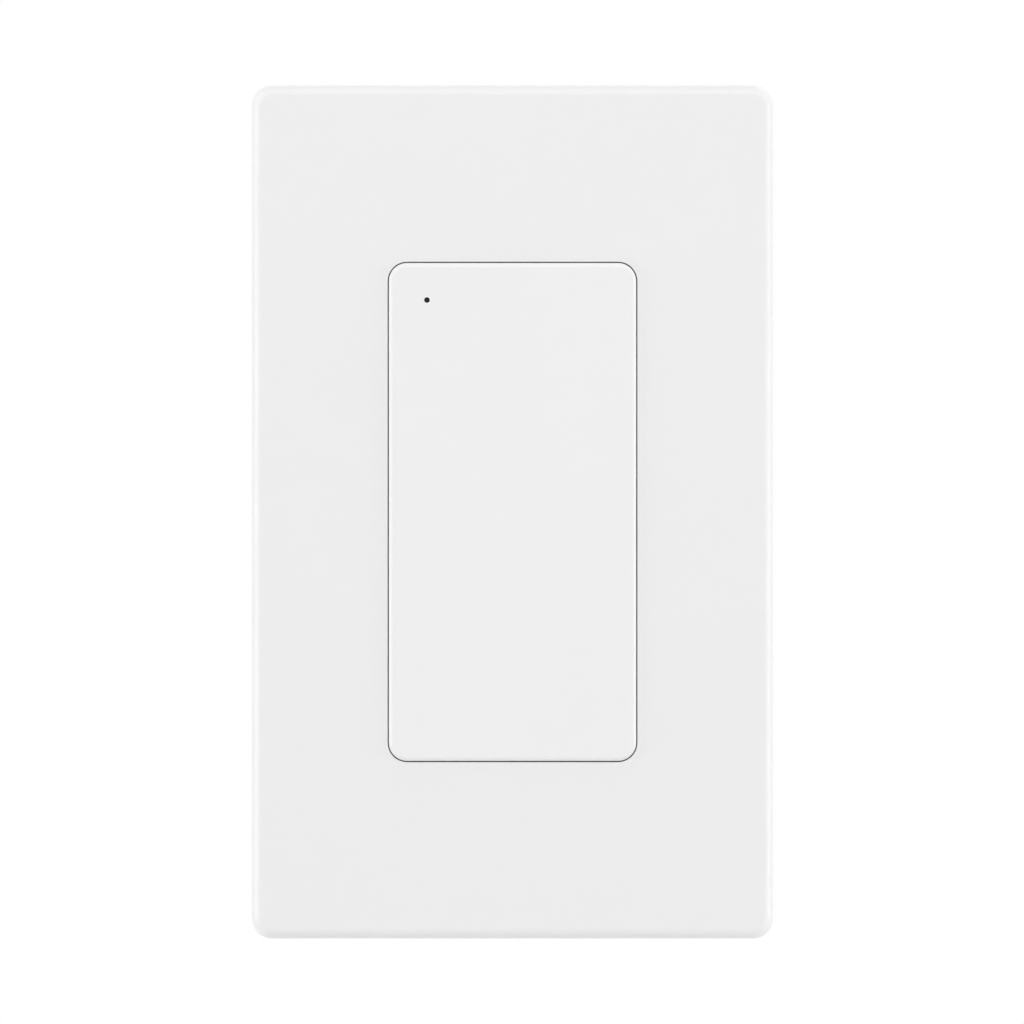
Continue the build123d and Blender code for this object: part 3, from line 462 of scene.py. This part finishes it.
# One start thread whose rows follow the helix, cut square at the head and tapered at the tip
def addThread(shape, radius, pitch, start, end, place):
    around = threadForm["around"]
    core = radius - threadForm["depth"] * pitch
    tip, climb = core - threadForm["tipDrop"] * pitch, threadForm["tipRise"]
    step = [(share, core) for share in threadForm["root"]]
    step += [(share, radius) for share in threadForm["crest"]]
    rows, ahead = [], len(step)
    for turn in range(-1, int((end - start) / pitch) + 3):
        for share, reach in step:
            row = []
            for k in range(around):
                along = start + (turn + share + k / around) * pitch
                size = min(reach, tip + (along - start) * radius / threadForm["tipLength"] * climb)
                if along <= start or along >= end:
                    size = min(core, size)
                size = max(size, threadForm["tipCore"] * core)
                angle = math.tau * k / around
                point = (size * math.cos(angle), size * math.sin(angle), min(max(along, start), end))
                row.append(shape.verts.new(place @ Vector(point)))
            rows.append(row)
    for low in range(len(rows) - 1):
        for k in range(around):
            if k < around - 1:
                corners = (rows[low][k], rows[low][k + 1], rows[low + 1][k + 1], rows[low + 1][k])
            elif low + ahead + 1 < len(rows):  # the row's end meets the row one turn on
                corners = (rows[low][k], rows[low + ahead][0], rows[low + ahead + 1][0], rows[low + 1][k])
            else:
                continue
            shape.faces.new(corners)
    shape.faces.new(rows[0][::-1])
    shape.faces.new(rows[-1])
    bmesh.ops.remove_doubles(shape, verts=[vert for row in rows for vert in row], dist=1e-7)


def makePiece(name, shape, body, slotName, replaced=(), sharp=35):
    bmesh.ops.recalc_face_normals(shape, faces=shape.faces)
    mesh = bpy.data.meshes.new(name)
    shape.to_mesh(mesh)
    shape.free()
    mesh.materials.append(materials[slotName])
    mesh.polygons.foreach_set("use_smooth", [True] * len(mesh.polygons))
    mesh.set_sharp_from_angle(angle=math.radians(sharp))
    piece = bpy.data.objects.new(name, mesh)
    bpy.context.scene.collection.objects.link(piece)
    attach(piece, body)
    if replaced:
        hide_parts(*replaced)
    return piece


cutEdge = {"round": 0.05, "sharp": 40}  # millimetres and degrees


def cutAway(shape, cutter):
    hosts = []
    for part in (shape, cutter):
        mesh = bpy.data.meshes.new("cutting")
        bmesh.ops.recalc_face_normals(part, faces=part.faces)
        part.to_mesh(mesh)
        part.free()
        host = bpy.data.objects.new("cutting", mesh)
        bpy.context.scene.collection.objects.link(host)
        hosts.append(host)
    cut = hosts[0].modifiers.new("cut", "BOOLEAN")
    cut.object, cut.operation, cut.solver, cut.use_self = hosts[1], "DIFFERENCE", "EXACT", True
    soft = hosts[0].modifiers.new("soft", "BEVEL")
    soft.width, soft.segments = cutEdge["round"] * mm, 2
    soft.limit_method, soft.angle_limit = "ANGLE", math.radians(cutEdge["sharp"])
    view = bpy.context.evaluated_depsgraph_get()
    made = bmesh.new()
    made.from_mesh(hosts[0].evaluated_get(view).to_mesh())
    for host in hosts:
        bpy.data.objects.remove(host)
    return made


# Screws

screwKinds = {  # millimetres; the cross is a driver recess on top of the slot
    "box": {"radius": 1.75, "pitch": 0.794, "length": 23.7, "neck": 1.7, "neckRadius": 1.3,
            "headRadius": 3.5, "head": 1.9, "rim": 0.75, "slot": 0.9, "slotDepth": 0.95, "seat": 1.7},
    "plate": {"radius": 1.75, "pitch": 0.794, "length": 3.6, "neck": 0.15, "neckRadius": 1.5,
              "headRadius": 3.2, "head": 1.3, "rim": 0.4, "slot": 0.9, "slotDepth": 0.65, "seat": 3.7},
    "housing": {"radius": 1.15, "pitch": 0.9, "length": 30.4, "neck": 18.0, "neckRadius": 0.95,
                "headRadius": 2.2, "head": 1.7, "rim": 0.75, "slotDepth": 0.9,
                "cross": 1.2, "crossWidth": 0.6},
    "terminal": {"radius": 1.7, "pitch": 0.794, "length": 4.77, "neck": 0.1, "neckRadius": 1.45,
                 "headRadius": 3.5, "head": 2.0, "rim": 1.35, "slot": 1.0, "slotDepth": 1.0,
                 "cross": 2.0, "crossWidth": 1.0},
}
crownForm = {"edge": 0.12, "flat": 0.55, "steps": 8, "around": 56, "starFloor": 0.62}


# Head, neck and thread, with the head's underside at the origin of its place and its top along +Z
def screwShape(kind, place):
    look = screwKinds[kind]
    rim, radius, flat = look["rim"], look["headRadius"], crownForm["flat"]
    crown = [(0.0, 0.0), (0.0, radius - crownForm["edge"]), (crownForm["edge"], radius), (rim, radius)]
    for k in range(crownForm["steps"]):
        turn = math.pi / 2 * (k + 1) / crownForm["steps"]
        crown.append((rim + (look["head"] - rim) * math.sin(turn),
                      radius * (flat + (1 - flat) * math.cos(turn))))
    crown.append((look["head"], 0.0))
    head, cutter = bmesh.new(), bmesh.new()
    addLathe(head, crown, place, crownForm["around"])
    top, deep = look["head"] + 1.0, look["head"] - look["slotDepth"]
    if "slot" in look:
        half = look["slot"] / 2
        addBlock(cutter, (-radius - 1, -half, deep), (radius + 1, half, top), place)
    if "cross" in look:
        half, arm = look["crossWidth"] / 2, look["cross"]
        arms = ((half, arm),) if "slot" in look else ((half, arm), (arm, half))
        for x, y in arms:
            made = addBlock(cutter, (-x, -y, deep + 0.02), (x, y, top), place)
            if "slot" not in look:  # a star recess narrows towards its floor
                for vert in made:
                    local = place.inverted() @ vert.co
                    if local.z < top - 0.5:
                        narrow = crownForm["starFloor"]
                        vert.co = place @ Vector((local.x * narrow, local.y * narrow, local.z))
    shape = cutAway(head, cutter)
    neckEnd = -look["neck"]
    addLathe(shape, [(0.1, 0.0), (0.1, look["neckRadius"]), (neckEnd - 0.1, look["neckRadius"]),
                     (neckEnd - 0.1, 0.0)], place, 32)
    addThread(shape, look["radius"], look["pitch"], -look["length"], neckEnd, place)
    return shape


def joinShapes(parts):
    whole = bmesh.new()
    for part in parts:
        mesh = bpy.data.meshes.new("joining")
        part.to_mesh(mesh)
        part.free()
        whole.from_mesh(mesh)
        bpy.data.meshes.remove(mesh)
    return whole


def endHeights(node, headRadius):
    low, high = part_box(node)
    return high.z / mm - headRadius, low.z / mm + headRadius


terminalFinish = {"line": "brass", "load": "brass", "neutral": "silver_steel", "ground": "green_metal"}


def makeScrews():
    for name, kind, node in (("boxScrews", "box", "box_screws"), ("plateScrews", "plate", "plate_screws")):
        seat = screwKinds[kind]["seat"]
        heights = endHeights(node, screwKinds[kind]["headRadius"])
        parts = [screwShape(kind, standAt((0, -seat, z), (0, -1, 0))) for z in heights]
        makePiece(name, joinShapes(parts), "switch", "screw_steel", (node,))
    low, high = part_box("housing_screws")
    reach = screwKinds["housing"]["headRadius"]
    seat = high.y / mm - screwKinds["housing"]["head"]
    parts = []
    for x in (low.x / mm + reach, high.x / mm - reach):
        for z in (low.z / mm + reach, high.z / mm - reach):
            parts.append(screwShape("housing", standAt((x, seat, z), (0, 1, 0))))
    makePiece("housingScrews", joinShapes(parts), "switch", "black_steel", ("housing_screws",))
    for role in terminalRoles:
        node = "terminal_screw_" + role
        low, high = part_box(node)
        side = 1 if high.x > 0 else -1
        outside = (high.x if side > 0 else -low.x) / mm
        middle = (low + high) / 2 / mm
        underHead = side * (outside - screwKinds["terminal"]["head"])
        shape = screwShape("terminal", standAt((underHead, middle.y, middle.z), (side, 0, 0)))
        makePiece("terminalScrew." + role, shape, "screw_" + role, terminalFinish[role], (node,))
    print("switch: screws")


# Terminals

clampLook = {"teeth": 8, "toothDepth": 0.22, "hole": 1.95, "corner": 0.8}


def makeClamps():
    for role in terminalRoles:
        node = "clamp_plate_" + role
        low, high = (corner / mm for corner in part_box(node))
        side = 1 if high.x > 0 else -1
        inner, outer = (low.x, high.x) if side > 0 else (high.x, low.x)
        depth = side * clampLook["toothDepth"]
        count, half = clampLook["teeth"], clampLook["corner"] / math.sqrt(2)
        outline = [(outer, high.y), (outer, low.y)]
        for tooth in range(count):
            start = low.y + (high.y - low.y) * tooth / count
            middle = low.y + (high.y - low.y) * (tooth + 0.5) / count
            outline += [(inner, start), (inner + depth, middle)]
        outline.append((inner, high.y))
        shape, cutter = bmesh.new(), bmesh.new()
        addPrism(shape, outline, low.z, high.z)
        middle = (low + high) / 2
        hole = standAt((middle.x, middle.y, middle.z), (side, 0, 0))
        addLathe(cutter, [(-3, 0), (-3, clampLook["hole"]), (3, clampLook["hole"]), (3, 0)], hole, 40)
        for y, z in ((low.y, low.z), (low.y, high.z), (high.y, low.z), (high.y, high.z)):
            place = Matrix.Translation(Vector((middle.x, y, z)) * mm) @ Matrix.Rotation(math.pi / 4, 4, "X")
            addBlock(cutter, (-3, -half, -half), (3, half, half), place @ Matrix.Scale(mm, 4))
        makePiece("clampPlate." + role, cutAway(shape, cutter), "clamp_" + role, "plated_steel", (node,))
    print("switch: clamps")


makeScrews()
makeClamps()


springLook = {"wire": 0.18, "closed": 0.37, "activeTurns": 4, "steps": 40, "around": 10, "keep": 0.885}


# Return springs with a closed coil at each end, built at their rest length; nothing here makes them shorten
# as the paddle goes in
def makeSprings():
    wire, closed, steps = springLook["wire"], springLook["closed"], springLook["steps"]
    for name in ("left", "right"):
        node = "paddle_spring_" + name
        low, high = (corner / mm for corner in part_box(node))
        middle, reach = (low + high) / 2, (high.x - low.x) / 2 - wire
        start, length = high.y - wire, high.y - low.y - 2 * wire
        active, turns = length - 2 * closed, springLook["activeTurns"] + 2
        shape, rings = bmesh.new(), []
        for k in range(turns * steps + 1):
            turn = k / steps
            share = min(max((turn - 1) / springLook["activeTurns"], 0), 1)
            along = closed * (min(turn, 1) + max(turn - turns + 1, 0)) + active * share
            spoke = Vector((math.cos(math.tau * turn), 0, math.sin(math.tau * turn)))
            ring = []
            for part in range(springLook["around"]):
                angle = math.tau * part / springLook["around"]
                drop = Vector((0, wire * math.sin(angle) - along, 0))
                point = spoke * (reach + wire * math.cos(angle)) + drop
                ring.append(shape.verts.new((Vector((middle.x, start, middle.z)) + point) * mm))
            rings.append(ring)
        for near, far in zip(rings, rings[1:]):
            for part in range(len(near)):
                after = (part + 1) % len(near)
                shape.faces.new((near[part], near[after], far[after], far[part]))
        shape.faces.new(rings[0][::-1])
        shape.faces.new(rings[-1])
        spring = makePiece("paddleSpring." + name, shape, "switch", "spring_steel", (node,), sharp=60)
        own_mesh(spring)
    print("switch: springs")


makeSprings()


# Small parts on the boards: x and z in millimetres, from the middle of each component

solderLook = {
    "profile": ((0.0, 0.0), (0.0, 0.95), (0.1, 0.88), (0.32, 0.5), (0.55, 0.34), (0.8, 0.3), (0.8, 0.0)),
    "spots": {
        "relay": ((-12.0, -3.8), (-12.0, 3.8), (-2.0, 0.0), (10.6, -3.8), (10.6, 3.8)),
        "film_capacitor": ((-5.0, 0.0), (5.0, 0.0)),
        "varistor": ((0.0, -2.5), (0.0, 2.5)),
        "fuse": ((-2.54, 0.0), (2.54, 0.0)),
        "bridge_rectifier": ((-3.75, 0.0), (-1.25, 0.0), (1.25, 0.0), (3.75, 0.0)),
        "choke": ((-2.0, 0.0), (2.0, 0.0)),
        "transformer_winding": ((-3.2, -3.0), (-3.2, 3.0), (3.2, -3.0), (3.2, 3.0)),
        "capacitors": ((-1.75, -4.2), (1.75, -4.2), (-1.75, 4.2), (1.75, 4.2)),
    },
    "headerPitch": 2.54, "headerColumns": (-2, -1, 0, 1, 2), "headerRows": (-0.5, 0.5), "around": 20,
}


# Each pin's solder stands on the board's front, under the insulating barrier or inside the frame
def makeSolder():
    shape = bmesh.new()
    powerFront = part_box("power_board")[0].y / mm
    for node, spots in solderLook["spots"].items():
        low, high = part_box(node)
        middle = (low + high) / 2 / mm
        for x, z in spots:
            place = standAt((middle.x + x, powerFront, middle.z + z), (0, -1, 0))
            addLathe(shape, solderLook["profile"], place, solderLook["around"])
    makePiece("powerSolder", shape, "switch", "tinned_steel", sharp=50)
    shape = bmesh.new()
    low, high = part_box("board_header")
    controlFront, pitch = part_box("control_board")[0].y / mm, solderLook["headerPitch"]
    for column in solderLook["headerColumns"]:
        for row in solderLook["headerRows"]:
            point = (column * pitch, controlFront, (low.z + high.z) / 2 / mm + row * pitch)
            addLathe(shape, solderLook["profile"], standAt(point, (0, -1, 0)), solderLook["around"])
    makePiece("headerSolder", shape, "switch", "tinned_steel", sharp=50)


chips = {  # at and size are x, z; leads stand on the two long sides
    "controller": {"at": (6.6, 9.5), "size": (6.0, 6.4), "height": 1.0,
                   "leads": 9, "pitch": 0.65, "lead": 0.26},
    "driver": {"at": (-7.4, 7.4), "size": (3.9, 4.9), "height": 1.4,
               "leads": 4, "pitch": 1.27, "lead": 0.42},
    "memory": {"at": (-7.4, 14.8), "size": (3.9, 4.9), "height": 1.4,
               "leads": 4, "pitch": 1.27, "lead": 0.42},
}
leadReach, leadThickness = 1.0, 0.18
passives = {  # each row: first part's x, z, then the step to the next, then how many
    "body": (0.8, 0.55), "length": 1.6, "cap": 0.32, "capProud": 0.03,
    "rows": (((-1.4, 4.4), (0.0, 1.9), 7), ((1.6, 15.6), (2.4, 0.0), 5),
             ((-12.4, 4.2), (0.0, 2.1), 8), ((12.4, 2.0), (0.0, 2.1), 8),
             ((-11.6, -4.6), (0.0, 2.1), 3), ((7.4, -3.8), (0.0, 2.1), 3)),
}


def addLead(shape, x, z, side, board, height, width):
    knee = ((0, height), (0.35, height), (0.55, leadThickness), (1, leadThickness), (1, 0), (0.45, 0),
            (0.26, height - leadThickness), (0, height - leadThickness))
    outline = [(x + side * share * leadReach, board - up) for share, up in knee]
    addPrism(shape, outline, z - width / 2, z + width / 2)


def addChip(shape, look, board):
    (x, z), (width, tall) = look["at"], look["size"]
    rings = []
    for up, inset in ((0.1, 0.1), (look["height"] / 2, 0.0), (look["height"], 0.12)):
        outline = clippedCorners((x - width / 2 + inset, z - tall / 2 + inset),
                                 (x + width / 2 - inset, z + tall / 2 - inset), 0.12)
        rings.append([shape.verts.new(Vector((u, board - up, v)) * mm) for u, v in outline])
    for low, high in zip(rings, rings[1:]):
        for k in range(8):
            shape.faces.new((low[k], low[(k + 1) % 8], high[(k + 1) % 8], high[k]))
    shape.faces.new(rings[0])
    shape.faces.new(rings[-1][::-1])


def makeControlParts():
    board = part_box("control_board")[0].y / mm
    bodies, leads, ceramics, caps = (bmesh.new() for part in range(4))
    for look in chips.values():
        addChip(bodies, look, board)
        (x, z), width = look["at"], look["size"][0]
        for side in (-1, 1):
            root = x + side * (width / 2 - 0.1)
            for k in range(look["leads"]):
                along = z + (k - (look["leads"] - 1) / 2) * look["pitch"]
                addLead(leads, root, along, side, board, look["height"] / 2, look["lead"])
    half, cap, proud = passives["length"] / 2, passives["cap"], passives["capProud"]
    tall, height = passives["body"]
    for (x, z), (stepX, stepZ), count in passives["rows"]:
        for k in range(count):
            u, v = x + k * stepX, z + k * stepZ
            sides = (v - tall / 2, v + tall / 2)
            addPrism(ceramics, clippedCorners((u - half + cap, sides[0]), (u + half - cap, sides[1]), 0.05),
                     board, board - height, "Y")
            for end in (-1, 1):
                ends = sorted((u + end * half, u + end * (half - cap)))
                outline = clippedCorners((ends[0], sides[0] - proud), (ends[1], sides[1] + proud), 0.08)
                addPrism(caps, outline, board, board - height - proud, "Y")
    makePiece("controlChips", bodies, "switch", "black_plastic")
    makePiece("controlLeads", leads, "switch", "tinned_steel")
    makePiece("controlCeramics", ceramics, "switch", "fuse_brown")
    makePiece("controlCaps", caps, "switch", "tinned_steel")


tactLook = {"cover": 0.2, "rim": 0.1, "hole": 1.95, "legs": 2.25, "legWidth": 0.7, "legHeight": 1.5}


# The tactile switch's steel cover and its four legs
def makeTactMetal():
    low, high = (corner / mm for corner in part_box("tact_switch_body"))
    middle, rim = (low + high) / 2, tactLook["rim"]
    plate, cutter = bmesh.new(), bmesh.new()
    outline = clippedCorners((low.x + rim, low.z + rim), (high.x - rim, high.z - rim), 0.5)
    addPrism(plate, outline, low.y, low.y - tactLook["cover"], "Y")
    hole = ((-1, 0), (-1, tactLook["hole"]), (1, tactLook["hole"]), (1, 0))
    addLathe(cutter, hole, standAt((middle.x, low.y, middle.z), (0, -1, 0)), 40)
    shape = cutAway(plate, cutter)
    for side in (-1, 1):
        for end in (-1, 1):
            addLead(shape, side * (high.x - 0.05), middle.z + end * tactLook["legs"], side, high.y,
                    tactLook["legHeight"], tactLook["legWidth"])
    makePiece("tactCover", shape, "switch", "tinned_steel")


moduleLook = {"pads": 10, "padPitch": 2.0, "pad": (0.9, 1.0), "proud": 0.3, "film": 0.05,
              "strip": 0.5, "folds": 9, "foldPitch": 1.7, "fold": (0.9, 4.6)}


# Pads along the radio module's edges, and the folded antenna on its bare end
def makeModuleCopper():
    shape = bmesh.new()
    low, high = (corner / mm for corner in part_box("radio_module"))
    middle = (low + high) / 2
    film, proud = moduleLook["film"], moduleLook["proud"]
    inward, tall = moduleLook["pad"]
    for side in (-1, 1):
        edge = high.x if side > 0 else low.x
        for k in range(moduleLook["pads"]):
            z = middle.z + (k - (moduleLook["pads"] - 1) / 2) * moduleLook["padPitch"]
            ends = sorted((edge - side * inward, edge + side * proud))
            addPrism(shape, clippedCorners((ends[0], z - tall / 2), (ends[1], z + tall / 2), 0.2),
                     low.y - film, high.y, "Y")
    half = moduleLook["strip"] / 2
    bottom, top = (low.z + offset for offset in moduleLook["fold"])
    for k in range(moduleLook["folds"]):
        x = middle.x + (k - (moduleLook["folds"] - 1) / 2) * moduleLook["foldPitch"]
        runs = [((x - half, bottom), (x + half, top))]
        if k + 1 < moduleLook["folds"]:
            level = top if k % 2 else bottom
            runs.append(((x - half, level - half), (x + moduleLook["foldPitch"] + half, level + half)))
        for start, end in runs:
            addPrism(shape, clippedCorners(start, end, 0.05), low.y - film, low.y + film, "Y")
    makePiece("moduleCopper", shape, "switch", "brass")


canLook = {"foot": 0.5, "crimp": 2.0, "crimpDepth": 0.35, "roll": 0.4, "lidInset": 1.15, "lidDrop": 0.25,
           "score": 0.35, "scoreDepth": 0.09}


# Capacitor cans: a plain sleeve with the crimp near the board, and a scored lid at the far end
def makeCapacitors():
    low, high = (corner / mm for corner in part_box("capacitors"))
    radius, length = (high.x - low.x) / 2, high.y - low.y
    foot, crimp, roll = canLook["foot"], canLook["crimp"], canLook["roll"]
    rim, lidTop = radius - canLook["lidInset"], length - canLook["lidDrop"]
    profile = ((0, 0), (0, radius - foot), (foot, radius), (crimp - 0.4, radius),
               (crimp, radius - canLook["crimpDepth"]), (crimp + 0.4, radius), (length - roll, radius),
               (length - 0.1, radius - roll * 0.7), (length, radius - roll - 0.2), (length - 0.05, rim),
               (lidTop, rim - 0.05), (lidTop, 0))
    sleeves, lids, cutter = (bmesh.new() for part in range(3))
    for z in (low.z + radius, high.z - radius):
        place = standAt(((low.x + high.x) / 2, low.y, z), (0, 1, 0))
        addLathe(sleeves, profile, place)
        lid = ((lidTop - 0.2, 0), (lidTop - 0.2, rim - 0.1), (lidTop + 0.1, rim - 0.1), (lidTop + 0.1, 0))
        addLathe(lids, lid, place)
        arm, half, floor = rim * 0.72, canLook["score"] / 2, lidTop + 0.1 - canLook["scoreDepth"]
        for x, y in ((arm, half), (half, arm)):
            addBlock(cutter, (-x, -y, floor), (x, y, lidTop + 1), place)
    makePiece("capacitorSleeves", sleeves, "switch", "capacitor_sleeve", ("capacitors",))
    makePiece("capacitorLids", cutAway(lids, cutter), "switch", "tinned_steel")


coilLook = {"rim": 1.4, "pitch": 0.42, "inside": 2.95, "wire": 0.2,
            "flange": 0.7, "overhang": 0.5, "clip": 0.6, "lap": 0.05}


# Magnet wire in the choke's waist, and the transformer's bobbin ends
def makeWindings():
    low, high = (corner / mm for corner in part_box("choke"))
    middle, shape = (low + high) / 2, bmesh.new()
    start, end = coilLook["rim"], high.y - low.y - coilLook["rim"]
    profile, count = [(start, 0.0)], int((end - start) / coilLook["pitch"]) * 4
    for k in range(count + 1):
        swell = abs(math.sin(math.pi * k / 4))
        profile.append((start + (end - start) * k / count, coilLook["inside"] + coilLook["wire"] * swell))
    profile.append((end, 0.0))
    addLathe(shape, profile, standAt((middle.x, low.y, middle.z), (0, 1, 0)), 40)
    makePiece("chokeWire", shape, "switch", "brass", sharp=60)
    low, high = (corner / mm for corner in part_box("transformer_winding"))
    shape, over, thick, lap = bmesh.new(), coilLook["overhang"], coilLook["flange"], coilLook["lap"]
    outline = clippedCorners((low.x - over, low.z - over), (high.x + over, high.z + over), coilLook["clip"])
    addPrism(shape, outline, low.y + lap, low.y + thick, "Y")
    addPrism(shape, outline, high.y - thick, high.y + lap, "Y")
    makePiece("transformerBobbin", shape, "switch", "black_plastic")


makeSolder()
makeControlParts()
makeTactMetal()
makeModuleCopper()
makeCapacitors()
makeWindings()
print("switch: board parts")


# Softened edges on the frame's own solids

edgeRound = {  # millimetres
    "wall_plate": 0.12, "rear_housing": 0.22, "front_frame": 0.12, "plate_carrier": 0.12,
    "mounting_strap": 0.10, "screw_retainers": 0.05, "insulating_barrier": 0.10,
    "control_board": 0.05, "power_board": 0.05, "board_header": 0.12,
    "radio_module": 0.04, "module_shield": 0.18, "tact_switch_body": 0.12, "tact_plunger": 0.15,
    "status_led": 0.08, "relay": 0.35, "varistor": 0.9, "fuse": 0.5, "film_capacitor": 0.30,
    "bridge_rectifier": 0.15, "transformer_core": 0.15, "transformer_winding": 0.4, "choke": 0.15,
    **{"terminal_plate_" + role: 0.10 for role in terminalRoles},
}
edgeForm = {"weld": 0.0005, "flatWithin": 0.6, "sharpFrom": 38, "segments": 2, "weight": 60}


def softenEdges():
    for name, width in edgeRound.items():
        node = cad[name]
        weld = node.modifiers.new("weld", "WELD")
        weld.merge_threshold = edgeForm["weld"] * mm
        flat = node.modifiers.new("flat", "DECIMATE")
        flat.decimate_type, flat.angle_limit = "DISSOLVE", math.radians(edgeForm["flatWithin"])
        soft = node.modifiers.new("soft", "BEVEL")
        soft.width, soft.segments = width * mm, edgeForm["segments"]
        soft.limit_method, soft.angle_limit = "ANGLE", math.radians(edgeForm["sharpFrom"])
        level = node.modifiers.new("level", "WEIGHTED_NORMAL")
        level.weight = edgeForm["weight"]
    print("switch: edges softened on", len(edgeRound), "solids")


softenEdges()


# Camera, floor and light

camera = {"away": 5500.0, "front": 7.6, "right": -0.070, "up": -0.010,
          "scale": 0.1338, "pixels": 1024, "sensor": 36.0, "clip": (0.05, 20.0)}  # scale: mm a pixel
lens = bpy.data.cameras.new("camera")
lens.sensor_width = camera["sensor"]
lens.lens = camera["sensor"] * camera["away"] / (camera["scale"] * camera["pixels"])
lens.clip_start, lens.clip_end = camera["clip"]
viewer = bpy.data.objects.new("camera", lens)
viewer.location = Vector((camera["right"], -camera["away"] - camera["front"], camera["up"])) * mm
viewer.rotation_euler = (math.pi / 2, 0, 0)
bpy.context.scene.collection.objects.link(viewer)
bpy.context.scene.camera = viewer
bpy.context.scene.view_settings.view_transform = "Standard"


# Rays that see plain white in place of the room: the camera's, reflections and clear parts
def whiteRays(tree):
    ray = put(tree, "ShaderNodeLightPath").outputs
    return calc(tree, "MAXIMUM", ray["Is Camera Ray"],
                calc(tree, "MAXIMUM", ray["Is Glossy Ray"], ray["Is Transmission Ray"]))


floorLook = {"drop": 110.0, "radius": 3000.0, "sides": 96, "shadeOut": (130.0, 360.0),
             "tone": 0.88, "mottle": 0.02, "tooth": 900.0, "bump": 0.3, "relief": 0.02}


def makeFloor():
    mesh = bpy.data.meshes.new("floor")
    shape = bmesh.new()
    bmesh.ops.create_circle(shape, cap_ends=True, segments=floorLook["sides"],
                            radius=floorLook["radius"] * mm)
    shape.to_mesh(mesh)
    shape.free()
    floor = bpy.data.objects.new("floor", mesh)
    floor.location.z = -floorLook["drop"] * mm
    bpy.context.scene.collection.objects.link(floor)
    made, tree = startMaterial("FloorPaper")
    place = put(tree, "ShaderNodeTexCoord").outputs["Object"]
    far = put(tree, "ShaderNodeVectorMath", {0: place}, operation="LENGTH").outputs["Value"]
    start, end = floorLook["shadeOut"]
    fade = put(tree, "ShaderNodeMapRange", {"Value": far, "From Min": start * mm, "From Max": end * mm},
               interpolation_type="SMOOTHSTEP").outputs["Result"]
    tooth = put(tree, "ShaderNodeTexNoise", {"Vector": place, "Scale": floorLook["tooth"], "Detail": 3.0})
    tone, mottle = floorLook["tone"], floorLook["mottle"]
    paper = put(tree, "ShaderNodeBsdfDiffuse", {
        "Color": blendColour(tree, tooth.outputs["Fac"], opaque((tone - mottle,) * 3),
                             opaque((tone + mottle,) * 3)),
        "Normal": bumpFrom(tree, tooth.outputs["Fac"], floorLook["bump"], floorLook["relief"])})
    glow = put(tree, "ShaderNodeEmission", {"Color": (1, 1, 1, 1), "Strength": 1.0})
    mix = put(tree, "ShaderNodeMixShader", {0: calc(tree, "MULTIPLY", fade, whiteRays(tree)),
                                            1: paper.outputs["BSDF"], 2: glow.outputs["Emission"]})
    endMaterial(tree, mix.outputs["Shader"])
    mesh.materials.append(made)


room = {"ambient": 0.74, "background": 1.0}


def makeWorld():
    world = bpy.data.worlds.new("studio")
    world.use_nodes = True
    tree = world.node_tree
    tree.nodes.clear()
    around, white = (put(tree, "ShaderNodeBackground", {"Color": (1, 1, 1, 1), "Strength": room[part]})
                     for part in ("ambient", "background"))
    mix = put(tree, "ShaderNodeMixShader", {0: whiteRays(tree), 1: around.outputs[0], 2: white.outputs[0]})
    put(tree, "ShaderNodeOutputWorld", {"Surface": mix.outputs["Shader"]})
    bpy.context.scene.world = world


lamps = {  # places and sizes in millimetres, all of them aimed at the origin
    "topBox": {"at": (0.0, -900.0, 800.0), "size": (900.0, 500.0), "watts": 3.3},
    "leftStrip": {"at": (-930.0, -120.0, -25.0), "size": (420.0, 150.0), "watts": 1.95},
    "rightStrip": {"at": (930.0, -120.0, -25.0), "size": (420.0, 150.0), "watts": 1.95},
    "topStrip": {"at": (0.0, -120.0, 930.0), "size": (420.0, 300.0), "watts": 0.8},
    "backFill": {"at": (300.0, 1000.0, 500.0), "size": (700.0, 500.0), "watts": 2.4, "mirrored": False},
}


def makeLamps():
    for name, look in lamps.items():
        light = bpy.data.lights.new(name, "AREA")
        light.shape = "RECTANGLE"
        light.size, light.size_y = (side * mm for side in look["size"])
        light.energy = look["watts"]
        lamp = bpy.data.objects.new(name, light)
        lamp.location = Vector(look["at"]) * mm
        lamp.rotation_euler = (-lamp.location).to_track_quat("-Z", "Y").to_euler()
        lamp.visible_camera = False
        lamp.visible_glossy = look.get("mirrored", True)
        bpy.context.scene.collection.objects.link(lamp)


makeFloor()
makeWorld()
makeLamps()
print("switch: camera, floor and lamps")
